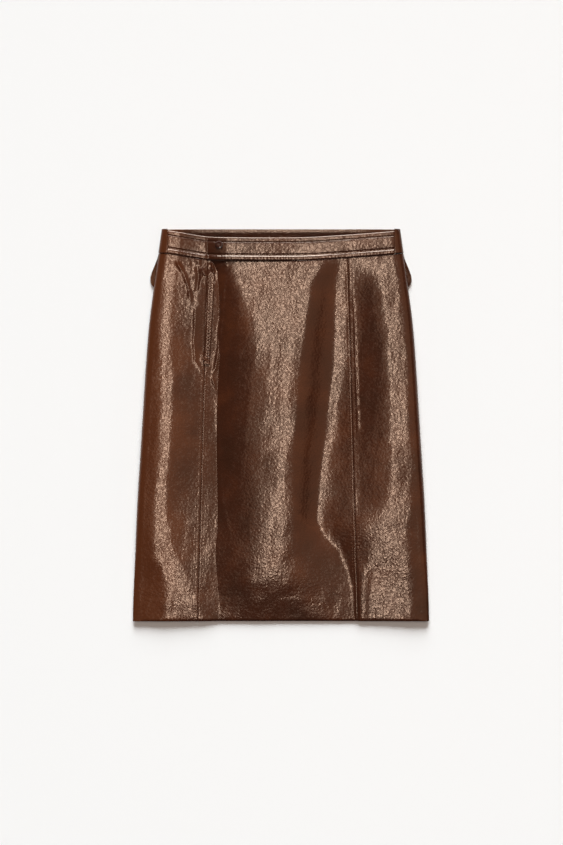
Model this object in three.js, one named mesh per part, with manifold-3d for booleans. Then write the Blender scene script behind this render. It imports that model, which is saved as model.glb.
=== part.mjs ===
// A leather midi skirt laid flat on its back.
// Millimetres, +Z up, +Y towards the waist, origin under the middle of the skirt.
// "down" is the distance below the straight back edge of the waist, along -Y.
// "left" is the -X side.

import * as THREE from 'three';
import Module from 'manifold-3d';
import { mergeVertices } from 'three/addons/utils/BufferGeometryUtils.js';

const wasm = await Module();
wasm.setup();

// ---- Driving dimensions ----

const LENGTH = 604;
const LEATHER = 1.2;
const SEAM_GAP = 0.3;
const LEFT = -1;
const RIGHT = 1;

const BAND = { height: 36, inside: -1.2, backThickness: 2.4, backHeight: 37, end: 174, wrapProud: 1.4 };
const OVERLAP = { end: -112.6, flatFrom: -108, lift: 2.4, rampStart: -76, rampEnd: -58 };
const UNDERLAP = { end: -78, proud: 0.8, clear: 1.4, step: 2 };
const FOLD = { frontWidth: 12, backWidth: 9 };
const SEAM = { leftTop: -113, leftHem: -129, rightTop: 103, rightHem: 118, topDown: 50 };
const BUTTON = { x: -95, down: 24.7, radius: 6.2, height: 3.6, rim: 1, dish: 0.4, shank: 1.5, underside: 4.6 };
const BUTTONHOLE = { left: -101, right: -78, width: 1.2, eyeRadius: 2, cutHeight: 8 };
const LAP = { top: 51, bottom: 208, above: 0.4, thickness: 1.1, puckers: 26, puckerHeight: 0.6, stepsPerPucker: 4 };
const ZIP = { top: 62, bottom: 212, halfWidth: 12, tape: 0.7, chain: 1.6, chainHalf: 2.5, step: 1, below: 0.95 };
const SLIDER = { down: 66, width: 8, length: 10, height: 2.4, below: 1.0 };
const TAB = { hidden: 2.8, thickness: 1.2, rise: 1.5 };
const FLY = { top: 62, straightEnd: 196, tip: 226, left: -134, right: -93, tipX: -112.5, raise: 1.6, edge: 8,
  seamShare: { centre: 0.13, side: 0.36 } };

// How many faces each wall is divided into.
const MESH = {
  bodyRows: 36, panelColumns: 13, sideColumns: 4, flyColumns: 5, foldColumns: 4, backColumns: 3,
  bandColumns: 20, bandEndColumns: 4, underlapColumns: 6, bandBackColumns: 2, bandBackRows: 3,
  lapColumns: 4, zipRows: 18, tabColumns: 3, tabRows: 20, round: 28, eye: 16,
};

// Half width of the body, and the height of the fold where it is widest.
const OUTLINE = [
  { down: 0, half: 183.0, fold: 5.8 },
  { down: 38, half: 188.3, fold: 6.0 },
  { down: 86, half: 195.3, fold: 6.5 },
  { down: 145, half: 202.9, fold: 7.0 },
  { down: 201, half: 207.5, fold: 7.3 },
  { down: 275, half: 212.2, fold: 7.3 },
  { down: 349, half: 216.8, fold: 7.0 },
  { down: 423, half: 221.4, fold: 6.4 },
  { down: 497, half: 224.5, fold: 5.5 },
  { down: 571, half: 227.6, fold: 4.6 },
  { down: 604, half: 228.4, fold: 4.2 },
];

// The laid front: a shoulder at each fold, a valley ("foot") by each seam, and a pillow between them.
// Its rows change slowly, so that the front stays one smooth sheet from waist to hem.
const FORM = [
  { down: 0, shoulder: 11.5, footLeft: -108, footRight: 98, flatLeft: -50, flatRight: 40, foot: 9.5, pillow: 12.0 },
  { down: 50, shoulder: 12.0, footLeft: -108, footRight: 98, flatLeft: -50, flatRight: 40, foot: 9.5, pillow: 13.0 },
  { down: 150, shoulder: 14.5, footLeft: -106, footRight: 95, flatLeft: -54, flatRight: 36, foot: 8.4, pillow: 18.0 },
  { down: 262, shoulder: 15.2, footLeft: -99, footRight: 82, flatLeft: -45, flatRight: 30, foot: 7.6, pillow: 18.5 },
  { down: 340, shoulder: 14.8, footLeft: -104, footRight: 74, flatLeft: -28, flatRight: 18, foot: 6.8, pillow: 17.2 },
  { down: 432, shoulder: 12.6, footLeft: -104, footRight: 62, flatLeft: -24, flatRight: 14, foot: 5.6, pillow: 14.2 },
  { down: 500, shoulder: 10.8, footLeft: -98, footRight: 56, flatLeft: -24, flatRight: 8, foot: 4.7, pillow: 11.2 },
  { down: 545, shoulder: 9.6, footLeft: -84, footRight: 56, flatLeft: -32, flatRight: 2, foot: 4.1, pillow: 8.6 },
  { down: 604, shoulder: 8.6, footLeft: -60, footRight: 48, flatLeft: -32, flatRight: 2, foot: 3.5, pillow: 3.5 },
];

// How far the front waist edge dips below the straight back edge.
const WAIST_DIP = [
  { x: -190, dip: 1.0 },
  { x: -174, dip: 2.3 },
  { x: -114, dip: 11.4 },
  { x: -90, dip: 12.8 },
  { x: 30, dip: 12.8 },
  { x: 91, dip: 9.6 },
  { x: 130, dip: 6.9 },
  { x: 176, dip: 3.1 },
  { x: 190, dip: 1.0 },
];

// Face of the front waistband, from its top edge to its bottom edge, standing proud of the body.
const BAND_FACE = [
  { drop: 0, proud: 0.3 },
  { drop: 2, proud: 1.0 },
  { drop: 7, proud: 1.0 },
  { drop: 8.5, proud: 0.5 },
  { drop: 10.5, proud: 1.1 },
  { drop: 25, proud: 1.1 },
  { drop: 27.5, proud: 0.3 },
  { drop: 30, proud: 1.7 },
  { drop: 33.5, proud: 1.7 },
  { drop: 36, proud: 0.4 },
];

// The button's face from its rim to its dished middle, as shares of its radius, height and dish.
const BUTTON_FACE = [
  { out: 0.96, up: 0.62, dished: 0 },
  { out: 0.8, up: 0.92, dished: 0 },
  { out: 0.55, up: 1, dished: 0 },
  { out: 0.3, up: 1, dished: 1 },
  { out: 0, up: 1, dished: 1 },
];

// The lapped margin of the fly, over the left seam.
const LAP_EDGES = [
  { down: 51, outer: -113.5, inner: -105 },
  { down: 72, outer: -114, inner: -102 },
  { down: 208, outer: -120, inner: -111 },
];

// The rounded side tab: how far it reaches past the fold.
const TAB_REACH = [
  { down: 38, reach: 0.2 },
  { down: 44, reach: 0.8 },
  { down: 56, reach: 3.8 },
  { down: 68, reach: 6.9 },
  { down: 77, reach: 7.4 },
  { down: 84, reach: 5.2 },
  { down: 88.5, reach: 1.0 },
];

// ---- Finishes ----

const LEATHER_FINISH = new THREE.MeshStandardMaterial({ color: 0x55301f, roughness: 0.35, metalness: 0 });
const TAB_FINISH = new THREE.MeshStandardMaterial({ color: 0x3a2015, roughness: 0.4, metalness: 0 });
const BUTTON_FINISH = new THREE.MeshStandardMaterial({ color: 0x2c1710, roughness: 0.2, metalness: 0 });
const TAPE_FINISH = new THREE.MeshStandardMaterial({ color: 0x3b2318, roughness: 0.9, metalness: 0 });
const SLIDER_FINISH = new THREE.MeshStandardMaterial({ color: 0x8a7248, roughness: 0.35, metalness: 0.9 });

// ---- Small helpers ----

/** Evenly spaced values from start to end, both included. */
function spread(start, end, steps) {
  return Array.from({ length: steps + 1 }, (_, i) => start + ((end - start) * i) / steps);
}

/** 0 to 1 with a level start and end. */
function ease(t) {
  const held = Math.min(Math.max(t, 0), 1);
  return (1 - Math.cos(Math.PI * held)) / 2;
}

/** A smooth curve through one column of a table, read at a place in its key column. */
function lookUp(table, key, at, column) {
  const last = table.length - 1;
  let i = 0;
  while (i < last - 1 && at > table[i + 1][key]) i += 1;
  const slope = (k) => {
    const a = table[Math.max(k - 1, 0)];
    const b = table[Math.min(k + 1, last)];
    return (b[column] - a[column]) / (b[key] - a[key]);
  };
  const from = table[i];
  const to = table[i + 1];
  const span = to[key] - from[key];
  const t = Math.min(Math.max((at - from[key]) / span, 0), 1);
  const rise = (2 * t ** 3 - 3 * t ** 2 + 1) * from[column] + (3 * t ** 2 - 2 * t ** 3) * to[column];
  return rise + span * ((t ** 3 - 2 * t ** 2 + t) * slope(i) + (t ** 3 - t ** 2) * slope(i + 1));
}

/** A straight-line reading of one column of a table. */
function lookUpStraight(table, key, at, column) {
  let i = 0;
  while (i < table.length - 2 && at > table[i + 1][key]) i += 1;
  const t = Math.min(Math.max((at - table[i][key]) / (table[i + 1][key] - table[i][key]), 0), 1);
  return table[i][column] + t * (table[i + 1][column] - table[i][column]);
}

// ---- The laid form ----

const halfWidth = (down) => lookUp(OUTLINE, 'down', down, 'half');
const foldHeight = (down) => lookUp(OUTLINE, 'down', down, 'fold');
const waistDip = (x) => lookUp(WAIST_DIP, 'x', x, 'dip');

/** X of a long front seam. */
function seamX(side, down) {
  const t = (down - SEAM.topDown) / (LENGTH - SEAM.topDown);
  const [top, hem] = side === LEFT ? [SEAM.leftTop, SEAM.leftHem] : [SEAM.rightTop, SEAM.rightHem];
  return top + (hem - top) * t;
}

/** The fly facing pressed through the leather: a low plateau that closes in a V at its foot. */
function flyRelief(x, down) {
  const close = Math.max(0, (down - FLY.straightEnd) / (FLY.tip - FLY.straightEnd));
  const left = FLY.left + (FLY.tipX - FLY.left) * close;
  const right = FLY.right + (FLY.tipX - FLY.right) * close;
  const across = ease((x - left) / FLY.edge) * ease((right - x) / FLY.edge);
  return FLY.raise * across * ease((down - FLY.top) / FLY.edge) * ease((FLY.tip - down) / FLY.edge);
}

/** Height of the laid front between the two shoulders. */
function frontHeight(x, down) {
  const form = (column) => lookUp(FORM, 'down', down, column);
  const shoulderX = halfWidth(down) - FOLD.frontWidth;
  const stations = [
    [-shoulderX, form('shoulder')],
    [form('footLeft'), form('foot')],
    [form('flatLeft'), form('pillow')],
    [form('flatRight'), form('pillow')],
    [form('footRight'), form('foot')],
    [shoulderX, form('shoulder')],
  ];
  let i = 0;
  while (i < stations.length - 2 && x > stations[i + 1][0]) i += 1;
  const [x0, z0] = stations[i];
  const [x1, z1] = stations[i + 1];
  return z0 + (z1 - z0) * ease((x - x0) / (x1 - x0)) + flyRelief(x, down);
}

/** A point of the front at a place across and down, rounded over the folds as far as their widest lines. */
function frontPoint(x, down) {
  const edge = halfWidth(down) - FOLD.frontWidth;
  const past = Math.abs(x) - edge;
  if (past <= 0) return new THREE.Vector3(x, LENGTH / 2 - down, frontHeight(x, down));
  const low = foldHeight(down);
  const high = lookUp(FORM, 'down', down, 'shoulder');
  const round = Math.sqrt(Math.max(0, 1 - (past / FOLD.frontWidth) ** 2));
  return new THREE.Vector3(x, LENGTH / 2 - down, low + (high - low) * round);
}

/** A point round the upper half of a fold; turn is 0 at its widest line and a quarter turn at the shoulder. */
function upperFold(side, turn, down) {
  const low = foldHeight(down);
  const high = lookUp(FORM, 'down', down, 'shoulder');
  const x = side * (halfWidth(down) - FOLD.frontWidth * (1 - Math.cos(turn)));
  return new THREE.Vector3(x, LENGTH / 2 - down, low + (high - low) * Math.sin(turn));
}

/** A point round the lower half of a fold; turn is 0 at its widest line and a quarter turn on the floor. */
function lowerFold(side, turn, down) {
  const low = foldHeight(down);
  const x = side * (halfWidth(down) - FOLD.backWidth * (1 - Math.cos(turn)));
  return new THREE.Vector3(x, LENGTH / 2 - down, low * (1 - Math.sin(turn)));
}

// ---- Walls ----

/** Outward normal of a surface whose columns run towards +X on the front and whose rows run down. */
function normalOf(surface, u, v) {
  const step = 1e-3;
  const along = surface(u + step, v).sub(surface(u - step, v));
  const downward = surface(u, v + step).sub(surface(u, v - step));
  return downward.cross(along).normalize();
}

/** A closed wall between an outer and an inner skin, both measured from one surface along its normal. */
function wall(surface, columns, rows, outer, inner) {
  const positions = [];
  const skin = (offset) => rows.forEach((v) => columns.forEach((u) => {
    const point = surface(u, v).addScaledVector(normalOf(surface, u, v), offset(u, v));
    positions.push(point.x, point.y, point.z);
  }));
  skin(outer);
  skin(inner);
  const wide = columns.length;
  const inside = wide * rows.length;
  const at = (i, j) => j * wide + i;
  const index = [];
  const quad = (a, b, c, d) => index.push(a, b, c, a, c, d);
  const rim = (p, q) => quad(q, p, p + inside, q + inside);
  for (let j = 0; j < rows.length - 1; j += 1) {
    for (let i = 0; i < wide - 1; i += 1) {
      quad(at(i, j), at(i, j + 1), at(i + 1, j + 1), at(i + 1, j));
      quad(at(i, j) + inside, at(i + 1, j) + inside, at(i + 1, j + 1) + inside, at(i, j + 1) + inside);
    }
    rim(at(0, j), at(0, j + 1));
    rim(at(wide - 1, j + 1), at(wide - 1, j));
  }
  for (let i = 0; i < wide - 1; i += 1) {
    rim(at(i, rows.length - 1), at(i + 1, rows.length - 1));
    rim(at(i + 1, 0), at(i, 0));
  }
  const geometry = new THREE.BufferGeometry();
  geometry.setAttribute('position', new THREE.Float32BufferAttribute(positions, 3));
  geometry.setIndex(index);
  geometry.computeVertexNormals();
  return geometry;
}

const plain = (offset) => () => offset;

/** Turns a closed geometry into a solid that can be cut. */
function toSolid(geometry) {
  const bare = geometry.clone();
  bare.deleteAttribute('normal');
  bare.deleteAttribute('uv');
  const merged = mergeVertices(bare, 1e-4);
  const vertProperties = Float32Array.from(merged.attributes.position.array);
  const triVerts = Uint32Array.from(merged.index.array);
  return new wasm.Manifold(new wasm.Mesh({ numProp: 3, vertProperties, triVerts }));
}

/** A geometry with cutters taken out of it. */
function cut(geometry, cutters) {
  const solid = cutters.reduce((body, cutter) => body.subtract(toSolid(cutter)), toSolid(geometry));
  const { vertProperties, triVerts } = solid.getMesh();
  const result = new THREE.BufferGeometry();
  result.setAttribute('position', new THREE.Float32BufferAttribute(vertProperties, 3));
  result.setIndex(Array.from(triVerts));
  result.computeVertexNormals();
  return result;
}

// ---- Body panels ----

const QUARTER = Math.PI / 2;
const bodyRows = spread(0, 1, MESH.bodyRows);

/** Distance down of a body row, from the band's lower edge to the hem. */
function bodyDown(top, row) {
  return top + (LENGTH - top) * row;
}

/** Panel columns from 0 to 1, closer together over the share of the width beside the fly seam. */
function seamColumns(share, others) {
  return [...spread(0, share, MESH.flyColumns), ...spread(share, 1, others).slice(1)];
}

/** Top edge of a front panel, just under the waistband. */
function panelTop(x) {
  return waistDip(x) + BAND.height + SEAM_GAP;
}

/** The middle front panel, between the two long seams. */
function frontCentrePanel() {
  const surface = (u, row) => {
    const left = (down) => seamX(LEFT, down) + SEAM_GAP / 2;
    const right = (down) => seamX(RIGHT, down) - SEAM_GAP / 2;
    const place = (down) => left(down) + (right(down) - left(down)) * u;
    const down = bodyDown(panelTop(place(SEAM.topDown)), row);
    return frontPoint(place(down), down);
  };
  return wall(surface, seamColumns(FLY.seamShare.centre, MESH.panelColumns), bodyRows, plain(0), plain(-LEATHER));
}

/** A side front panel: from a long seam over the shoulder and round the fold to the side seam beneath. */
function frontSidePanel(side) {
  const seam = (down) => seamX(side, down) + (side * SEAM_GAP) / 2;
  const shoulder = (down) => side * (halfWidth(down) - FOLD.frontWidth);
  const surface = (u, row) => {
    const out = u * side;
    if (out <= 1) {
      const place = (down) => seam(down) + (shoulder(down) - seam(down)) * out;
      const down = bodyDown(panelTop(place(SEAM.topDown)), row);
      return frontPoint(place(down), down);
    }
    if (out <= 2) {
      const turn = QUARTER * (2 - out);
      return upperFold(side, turn, bodyDown(panelTop(upperFold(side, turn, SEAM.topDown).x), row));
    }
    return lowerFold(side, QUARTER * (out - 2), bodyDown(BAND.backHeight + SEAM_GAP, row));
  };
  const out = [
    ...seamColumns(FLY.seamShare.side, MESH.sideColumns),
    ...spread(1, 2, MESH.foldColumns).slice(1),
    ...spread(2, 3, MESH.foldColumns).slice(1),
  ];
  const columns = side === RIGHT ? out : out.map((u) => -u).reverse();
  return wall(surface, columns, bodyRows, plain(0), plain(-LEATHER));
}

/** The back panel: one flat piece between the side seams, which lie just under the folds. */
function backPanel() {
  const surface = (u, row) => {
    const down = bodyDown(BAND.backHeight + SEAM_GAP, row);
    const flatHalf = halfWidth(down) - FOLD.backWidth - SEAM_GAP;
    return new THREE.Vector3(-flatHalf * u, LENGTH / 2 - down, 0);
  };
  return wall(surface, spread(-1, 1, MESH.backColumns), bodyRows, plain(0), plain(-LEATHER));
}

// ---- Waistband ----

const bandRows = BAND_FACE.map((row) => row.drop);
const bandProud = (drop) => lookUpStraight(BAND_FACE, 'drop', drop, 'proud');
const bandSurface = (x, drop) => frontPoint(x, waistDip(x) + drop);

/** How far the buttoned end of the front band is lifted by the piece beneath it. */
function overlapLift(x) {
  return OVERLAP.lift * (1 - ease((x - OVERLAP.rampStart) / (OVERLAP.rampEnd - OVERLAP.rampStart)));
}

/** A point on the band's face above the body, straight out from it. */
function onBand(x, down, lift) {
  const drop = down - waistDip(x);
  return bandSurface(x, drop).addScaledVector(normalOf(bandSurface, x, drop), lift);
}

/** Places a geometry built round +Y so that it stands out from the band. */
function standOnBand(geometry, x, down, lift) {
  const drop = down - waistDip(x);
  const turn = new THREE.Quaternion().setFromUnitVectors(
    new THREE.Vector3(0, 1, 0),
    normalOf(bandSurface, x, drop),
  );
  const at = onBand(x, down, lift);
  return geometry.applyMatrix4(new THREE.Matrix4().compose(at, turn, new THREE.Vector3(1, 1, 1)));
}

/** The long front band, with its buttoned end over the short one and a keyhole buttonhole. */
function waistbandFront() {
  const columns = [
    OVERLAP.end,
    ...spread(OVERLAP.flatFrom, OVERLAP.rampStart, MESH.bandEndColumns),
    ...spread(OVERLAP.rampStart, OVERLAP.rampEnd, MESH.bandEndColumns).slice(1),
    ...spread(OVERLAP.rampEnd, BAND.end, MESH.bandColumns).slice(1),
  ];
  const band = wall(
    bandSurface,
    columns,
    bandRows,
    (x, drop) => bandProud(drop) + overlapLift(x),
    (x) => BAND.inside + overlapLift(x),
  );
  const slotLength = BUTTONHOLE.right - BUTTONHOLE.left;
  const slotMiddle = (BUTTONHOLE.right + BUTTONHOLE.left) / 2;
  const slot = new THREE.BoxGeometry(slotLength, BUTTONHOLE.width, BUTTONHOLE.cutHeight);
  const slotZ = onBand(slotMiddle, BUTTON.down, overlapLift(slotMiddle)).z;
  slot.translate(slotMiddle, LENGTH / 2 - BUTTON.down, slotZ);
  const eye = new THREE.CylinderGeometry(BUTTONHOLE.eyeRadius, BUTTONHOLE.eyeRadius, BUTTONHOLE.cutHeight, MESH.eye);
  return cut(band, [slot, standOnBand(eye, BUTTON.x, BUTTON.down, overlapLift(BUTTON.x))]);
}

/** The short left band, with its plain end under the buttoned one. */
function waistbandUnderlap() {
  const coveredFrom = OVERLAP.end - UNDERLAP.clear;
  const facedTo = coveredFrom - UNDERLAP.step;
  const columns = [
    ...spread(-BAND.end, facedTo, MESH.underlapColumns),
    ...spread(coveredFrom, UNDERLAP.end, MESH.bandEndColumns),
  ];
  const outer = (x, drop) => (x <= facedTo ? bandProud(drop) : Math.min(bandProud(drop), UNDERLAP.proud));
  return wall(bandSurface, columns, bandRows, outer, plain(BAND.inside));
}

/** The back band: flat on the floor, round both folds, and on to meet the front one. */
function waistbandBack() {
  const frontEnd = BAND.end + SEAM_GAP;
  const endTurn = (down) => Math.acos(1 - (halfWidth(down) - frontEnd) / FOLD.frontWidth);
  const surface = (u, row) => {
    const down = BAND.backHeight * row;
    const side = u < 0 ? RIGHT : LEFT;
    const out = Math.abs(u);
    if (out <= 1) return new THREE.Vector3(-u * (halfWidth(down) - FOLD.backWidth), LENGTH / 2 - down, 0);
    if (out <= 2) return lowerFold(side, QUARTER * (2 - out), down);
    return upperFold(side, endTurn(down) * (out - 2), down);
  };
  const half = [
    ...spread(0, 1, MESH.bandBackColumns),
    ...spread(1, 2, MESH.foldColumns).slice(1),
    ...spread(2, 3, MESH.foldColumns).slice(1),
  ];
  const columns = [...half.slice(1).map((u) => -u).reverse(), ...half];
  const outer = (u) => BAND.wrapProud * ease((Math.abs(u) - 1) / 2);
  const inner = (u) => outer(u) - BAND.backThickness;
  return wall(surface, columns, spread(0, 1, MESH.bandBackRows), outer, inner);
}

/** The button: a domed face on a shank that stands in the buttonhole's eye. */
function waistButton() {
  const seat = OVERLAP.lift + bandProud(BUTTON.down - waistDip(BUTTON.x)) + SEAM_GAP;
  const shankFoot = UNDERLAP.proud + SEAM_GAP - seat;
  const foot = [
    [0, shankFoot],
    [BUTTON.shank, shankFoot],
    [BUTTON.shank, 0],
    [BUTTON.underside, 0],
    [BUTTON.radius, BUTTON.rim],
  ];
  const face = BUTTON_FACE.map((row) => [BUTTON.radius * row.out, BUTTON.height * row.up - BUTTON.dish * row.dished]);
  const profile = [...foot, ...face].map(([radius, height]) => new THREE.Vector2(radius, height));
  return standOnBand(new THREE.LatheGeometry(profile, MESH.round), BUTTON.x, BUTTON.down, seat);
}

// ---- Fly ----

/** The lapped margin over the zip, made from the front's own points moved out, with its puckers. */
function flyLap() {
  const edge = (down, column) => lookUpStraight(LAP_EDGES, 'down', down, column);
  const surface = (u, down) => frontPoint(edge(down, 'outer') * (1 - u) + edge(down, 'inner') * u, down);
  const steps = LAP.puckers * LAP.stepsPerPucker;
  const pitch = (LAP.bottom - LAP.top) / LAP.puckers;
  const pucker = (u, down) => {
    const wave = (1 - Math.cos((2 * Math.PI * (down - LAP.top)) / pitch)) / 2;
    return LAP.puckerHeight * wave * Math.sin(Math.PI * Math.min(1, Math.max(0, u)));
  };
  const outer = (u, down) => {
    const edgeDrop = u === 0 || u === 1 ? LAP.puckerHeight : 0;
    return LAP.above + LAP.thickness - edgeDrop + pucker(u, down);
  };
  return wall(surface, spread(0, 1, MESH.lapColumns), spread(LAP.top, LAP.bottom, steps), outer, plain(LAP.above));
}

/** A strip under the left seam, measured down and across from it. */
const underSeam = (across, down) => frontPoint(seamX(LEFT, down) + across, down);

/** The closed zip under the lap: both tapes with the chain standing below them. */
function zipTape() {
  const upper = -LEATHER - ZIP.below;
  const { chainHalf, halfWidth: edge } = ZIP;
  const columns = [-edge, -chainHalf - ZIP.step, -chainHalf, 0, chainHalf, chainHalf + ZIP.step, edge];
  const inner = (across) => upper - ZIP.tape - (Math.abs(across) <= chainHalf ? ZIP.chain : 0);
  return wall(underSeam, columns, spread(ZIP.top, ZIP.bottom, MESH.zipRows), plain(upper), inner);
}

/** The slider, closed at the top of the chain. */
function zipSlider() {
  const middle = underSeam(0, SLIDER.down);
  const top = middle.z - LEATHER - ZIP.below - ZIP.tape - ZIP.chain - SLIDER.below;
  const body = new THREE.BoxGeometry(SLIDER.width, SLIDER.length, SLIDER.height);
  return body.translate(middle.x, middle.y, top - SLIDER.height / 2);
}

// ---- Side tabs ----

/** The rounded end of a tab that is sewn under the band at the back and shows past the fold. */
function sideTab(side) {
  const surface = (u, down) => {
    const out = u * side;
    const reach = lookUp(TAB_REACH, 'down', down, 'reach');
    const x = halfWidth(down) - TAB.hidden + (TAB.hidden + reach) * out;
    return new THREE.Vector3(side * x, LENGTH / 2 - down, TAB.thickness + TAB.rise * out);
  };
  const columns = side === RIGHT ? spread(0, 1, MESH.tabColumns) : spread(-1, 0, MESH.tabColumns);
  const rows = spread(TAB_REACH[0].down, TAB_REACH[TAB_REACH.length - 1].down, MESH.tabRows);
  const geometry = wall(surface, columns, rows, plain(0), plain(-TAB.thickness));
  const position = geometry.attributes.position;
  for (let i = 0; i < position.count; i += 1) position.setZ(i, Math.max(0, position.getZ(i)));
  return geometry;
}

// ---- Assembly ----

const pieces = [
  ['front_centre_panel', frontCentrePanel(), LEATHER_FINISH],
  ['front_side_panel_left', frontSidePanel(LEFT), LEATHER_FINISH],
  ['front_side_panel_right', frontSidePanel(RIGHT), LEATHER_FINISH],
  ['back_panel', backPanel(), LEATHER_FINISH],
  ['waistband_front', waistbandFront(), LEATHER_FINISH],
  ['waistband_underlap', waistbandUnderlap(), LEATHER_FINISH],
  ['waistband_back', waistbandBack(), LEATHER_FINISH],
  ['fly_lap', flyLap(), LEATHER_FINISH],
  ['side_tab_left', sideTab(LEFT), TAB_FINISH],
  ['side_tab_right', sideTab(RIGHT), TAB_FINISH],
  ['waist_button', waistButton(), BUTTON_FINISH],
  ['zip_tape', zipTape(), TAPE_FINISH],
  ['zip_slider', zipSlider(), SLIDER_FINISH],
];

const skirt = new THREE.Group();
for (const [name, geometry, finish] of pieces) {
  const mesh = new THREE.Mesh(geometry, finish);
  mesh.name = name;
  skirt.add(mesh);
}

export default skirt;
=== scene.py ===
"""A glossy brown leather midi skirt, laid flat on its back on a pale surface.

Metres in Blender. The tables and sizes below are in millimetres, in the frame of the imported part:
+Z up, +Y towards the waist, "down" measured from the back waist edge along -Y, "left" on the -X side.
"""

import logging
import math
from dataclasses import dataclass
from enum import Enum
from typing import Callable, NamedTuple, Sequence

import bpy
import numpy as np
from bpy.types import Material, Node, NodeSocket, NodeTree, Object
from mathutils import Matrix, Vector


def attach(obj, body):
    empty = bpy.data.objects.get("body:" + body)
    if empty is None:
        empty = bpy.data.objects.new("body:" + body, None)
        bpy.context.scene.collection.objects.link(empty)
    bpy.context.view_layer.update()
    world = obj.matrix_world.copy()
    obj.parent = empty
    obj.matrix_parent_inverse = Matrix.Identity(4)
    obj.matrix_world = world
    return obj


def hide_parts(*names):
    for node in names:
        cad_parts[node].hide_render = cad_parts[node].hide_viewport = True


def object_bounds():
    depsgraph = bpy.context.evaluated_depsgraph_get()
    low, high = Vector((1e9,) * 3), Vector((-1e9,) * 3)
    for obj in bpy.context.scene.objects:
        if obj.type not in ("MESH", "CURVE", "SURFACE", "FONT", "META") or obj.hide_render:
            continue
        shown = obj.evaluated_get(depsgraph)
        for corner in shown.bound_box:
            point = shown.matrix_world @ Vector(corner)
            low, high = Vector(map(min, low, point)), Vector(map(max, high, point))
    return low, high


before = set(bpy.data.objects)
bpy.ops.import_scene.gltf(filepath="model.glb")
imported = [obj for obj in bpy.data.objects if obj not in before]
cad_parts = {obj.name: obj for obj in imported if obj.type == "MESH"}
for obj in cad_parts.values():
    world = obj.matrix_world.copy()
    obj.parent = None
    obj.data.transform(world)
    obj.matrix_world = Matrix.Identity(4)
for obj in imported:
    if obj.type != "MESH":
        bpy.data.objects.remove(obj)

logging.basicConfig(level=logging.INFO, format="%(message)s")
LOG = logging.getLogger("skirt")

MM = 0.001
CAD_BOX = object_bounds()
LENGTH = (CAD_BOX[1][1] - CAD_BOX[0][1]) / MM
WAIST_Y = LENGTH / 2
SEAM_GAP = 0.3
LEATHER = 1.2
QUARTER = math.pi / 2

Array = np.ndarray
Place = Callable[[Array, Array], Array]
Knot = tuple[Array, Array, Array, Array]


class Side(Enum):
    """A side of the skirt as the viewer sees it."""

    LEFT = -1
    RIGHT = 1


# ---- Tables of the laid form ----


class OutlineRow(NamedTuple):
    """Half width of the body, and the height of its folds at their widest line."""

    down: float
    half: float
    fold: float


OUTLINE = tuple(OutlineRow(*row) for row in (
    (0, 183.0, 5.8), (38, 188.3, 6.0), (86, 195.3, 6.5), (145, 202.9, 7.0), (201, 207.5, 7.3),
    (275, 212.2, 7.3), (349, 216.8, 7.0), (423, 221.4, 6.4), (497, 224.5, 5.5), (571, 227.6, 4.6),
    (604, 228.4, 4.2),
))


class FormRow(NamedTuple):
    """The laid front: a crest by each fold, a valley by each seam, and a pillow between them.

    A crest's place is its distance in from the outline, and a bank is the gently dished width inside
    it. The foot of a valley is its lowest line, with a shelf beside the right one, and the climb is the
    share of the rise to the right crest that lies before the seam. The pillow's top is dished where its
    rim slope is below 0 and crowned where it is above. The notch bends the right foot, and the sharpness
    is how steeply the pillow leaves the left one, against the mean rise.
    """

    down: float
    shoulder: float
    pillow: float
    low_left: float
    low_right: float
    crest_left: float
    bank_left: float
    foot_left: float
    fall_left: float
    flat_left: float
    flat_right: float
    foot_right: float
    shelf: float
    climb: float
    bank_right: float
    crest_right: float
    rim: float
    notch: float = 0.0
    sharpness: float = 2.7


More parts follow.
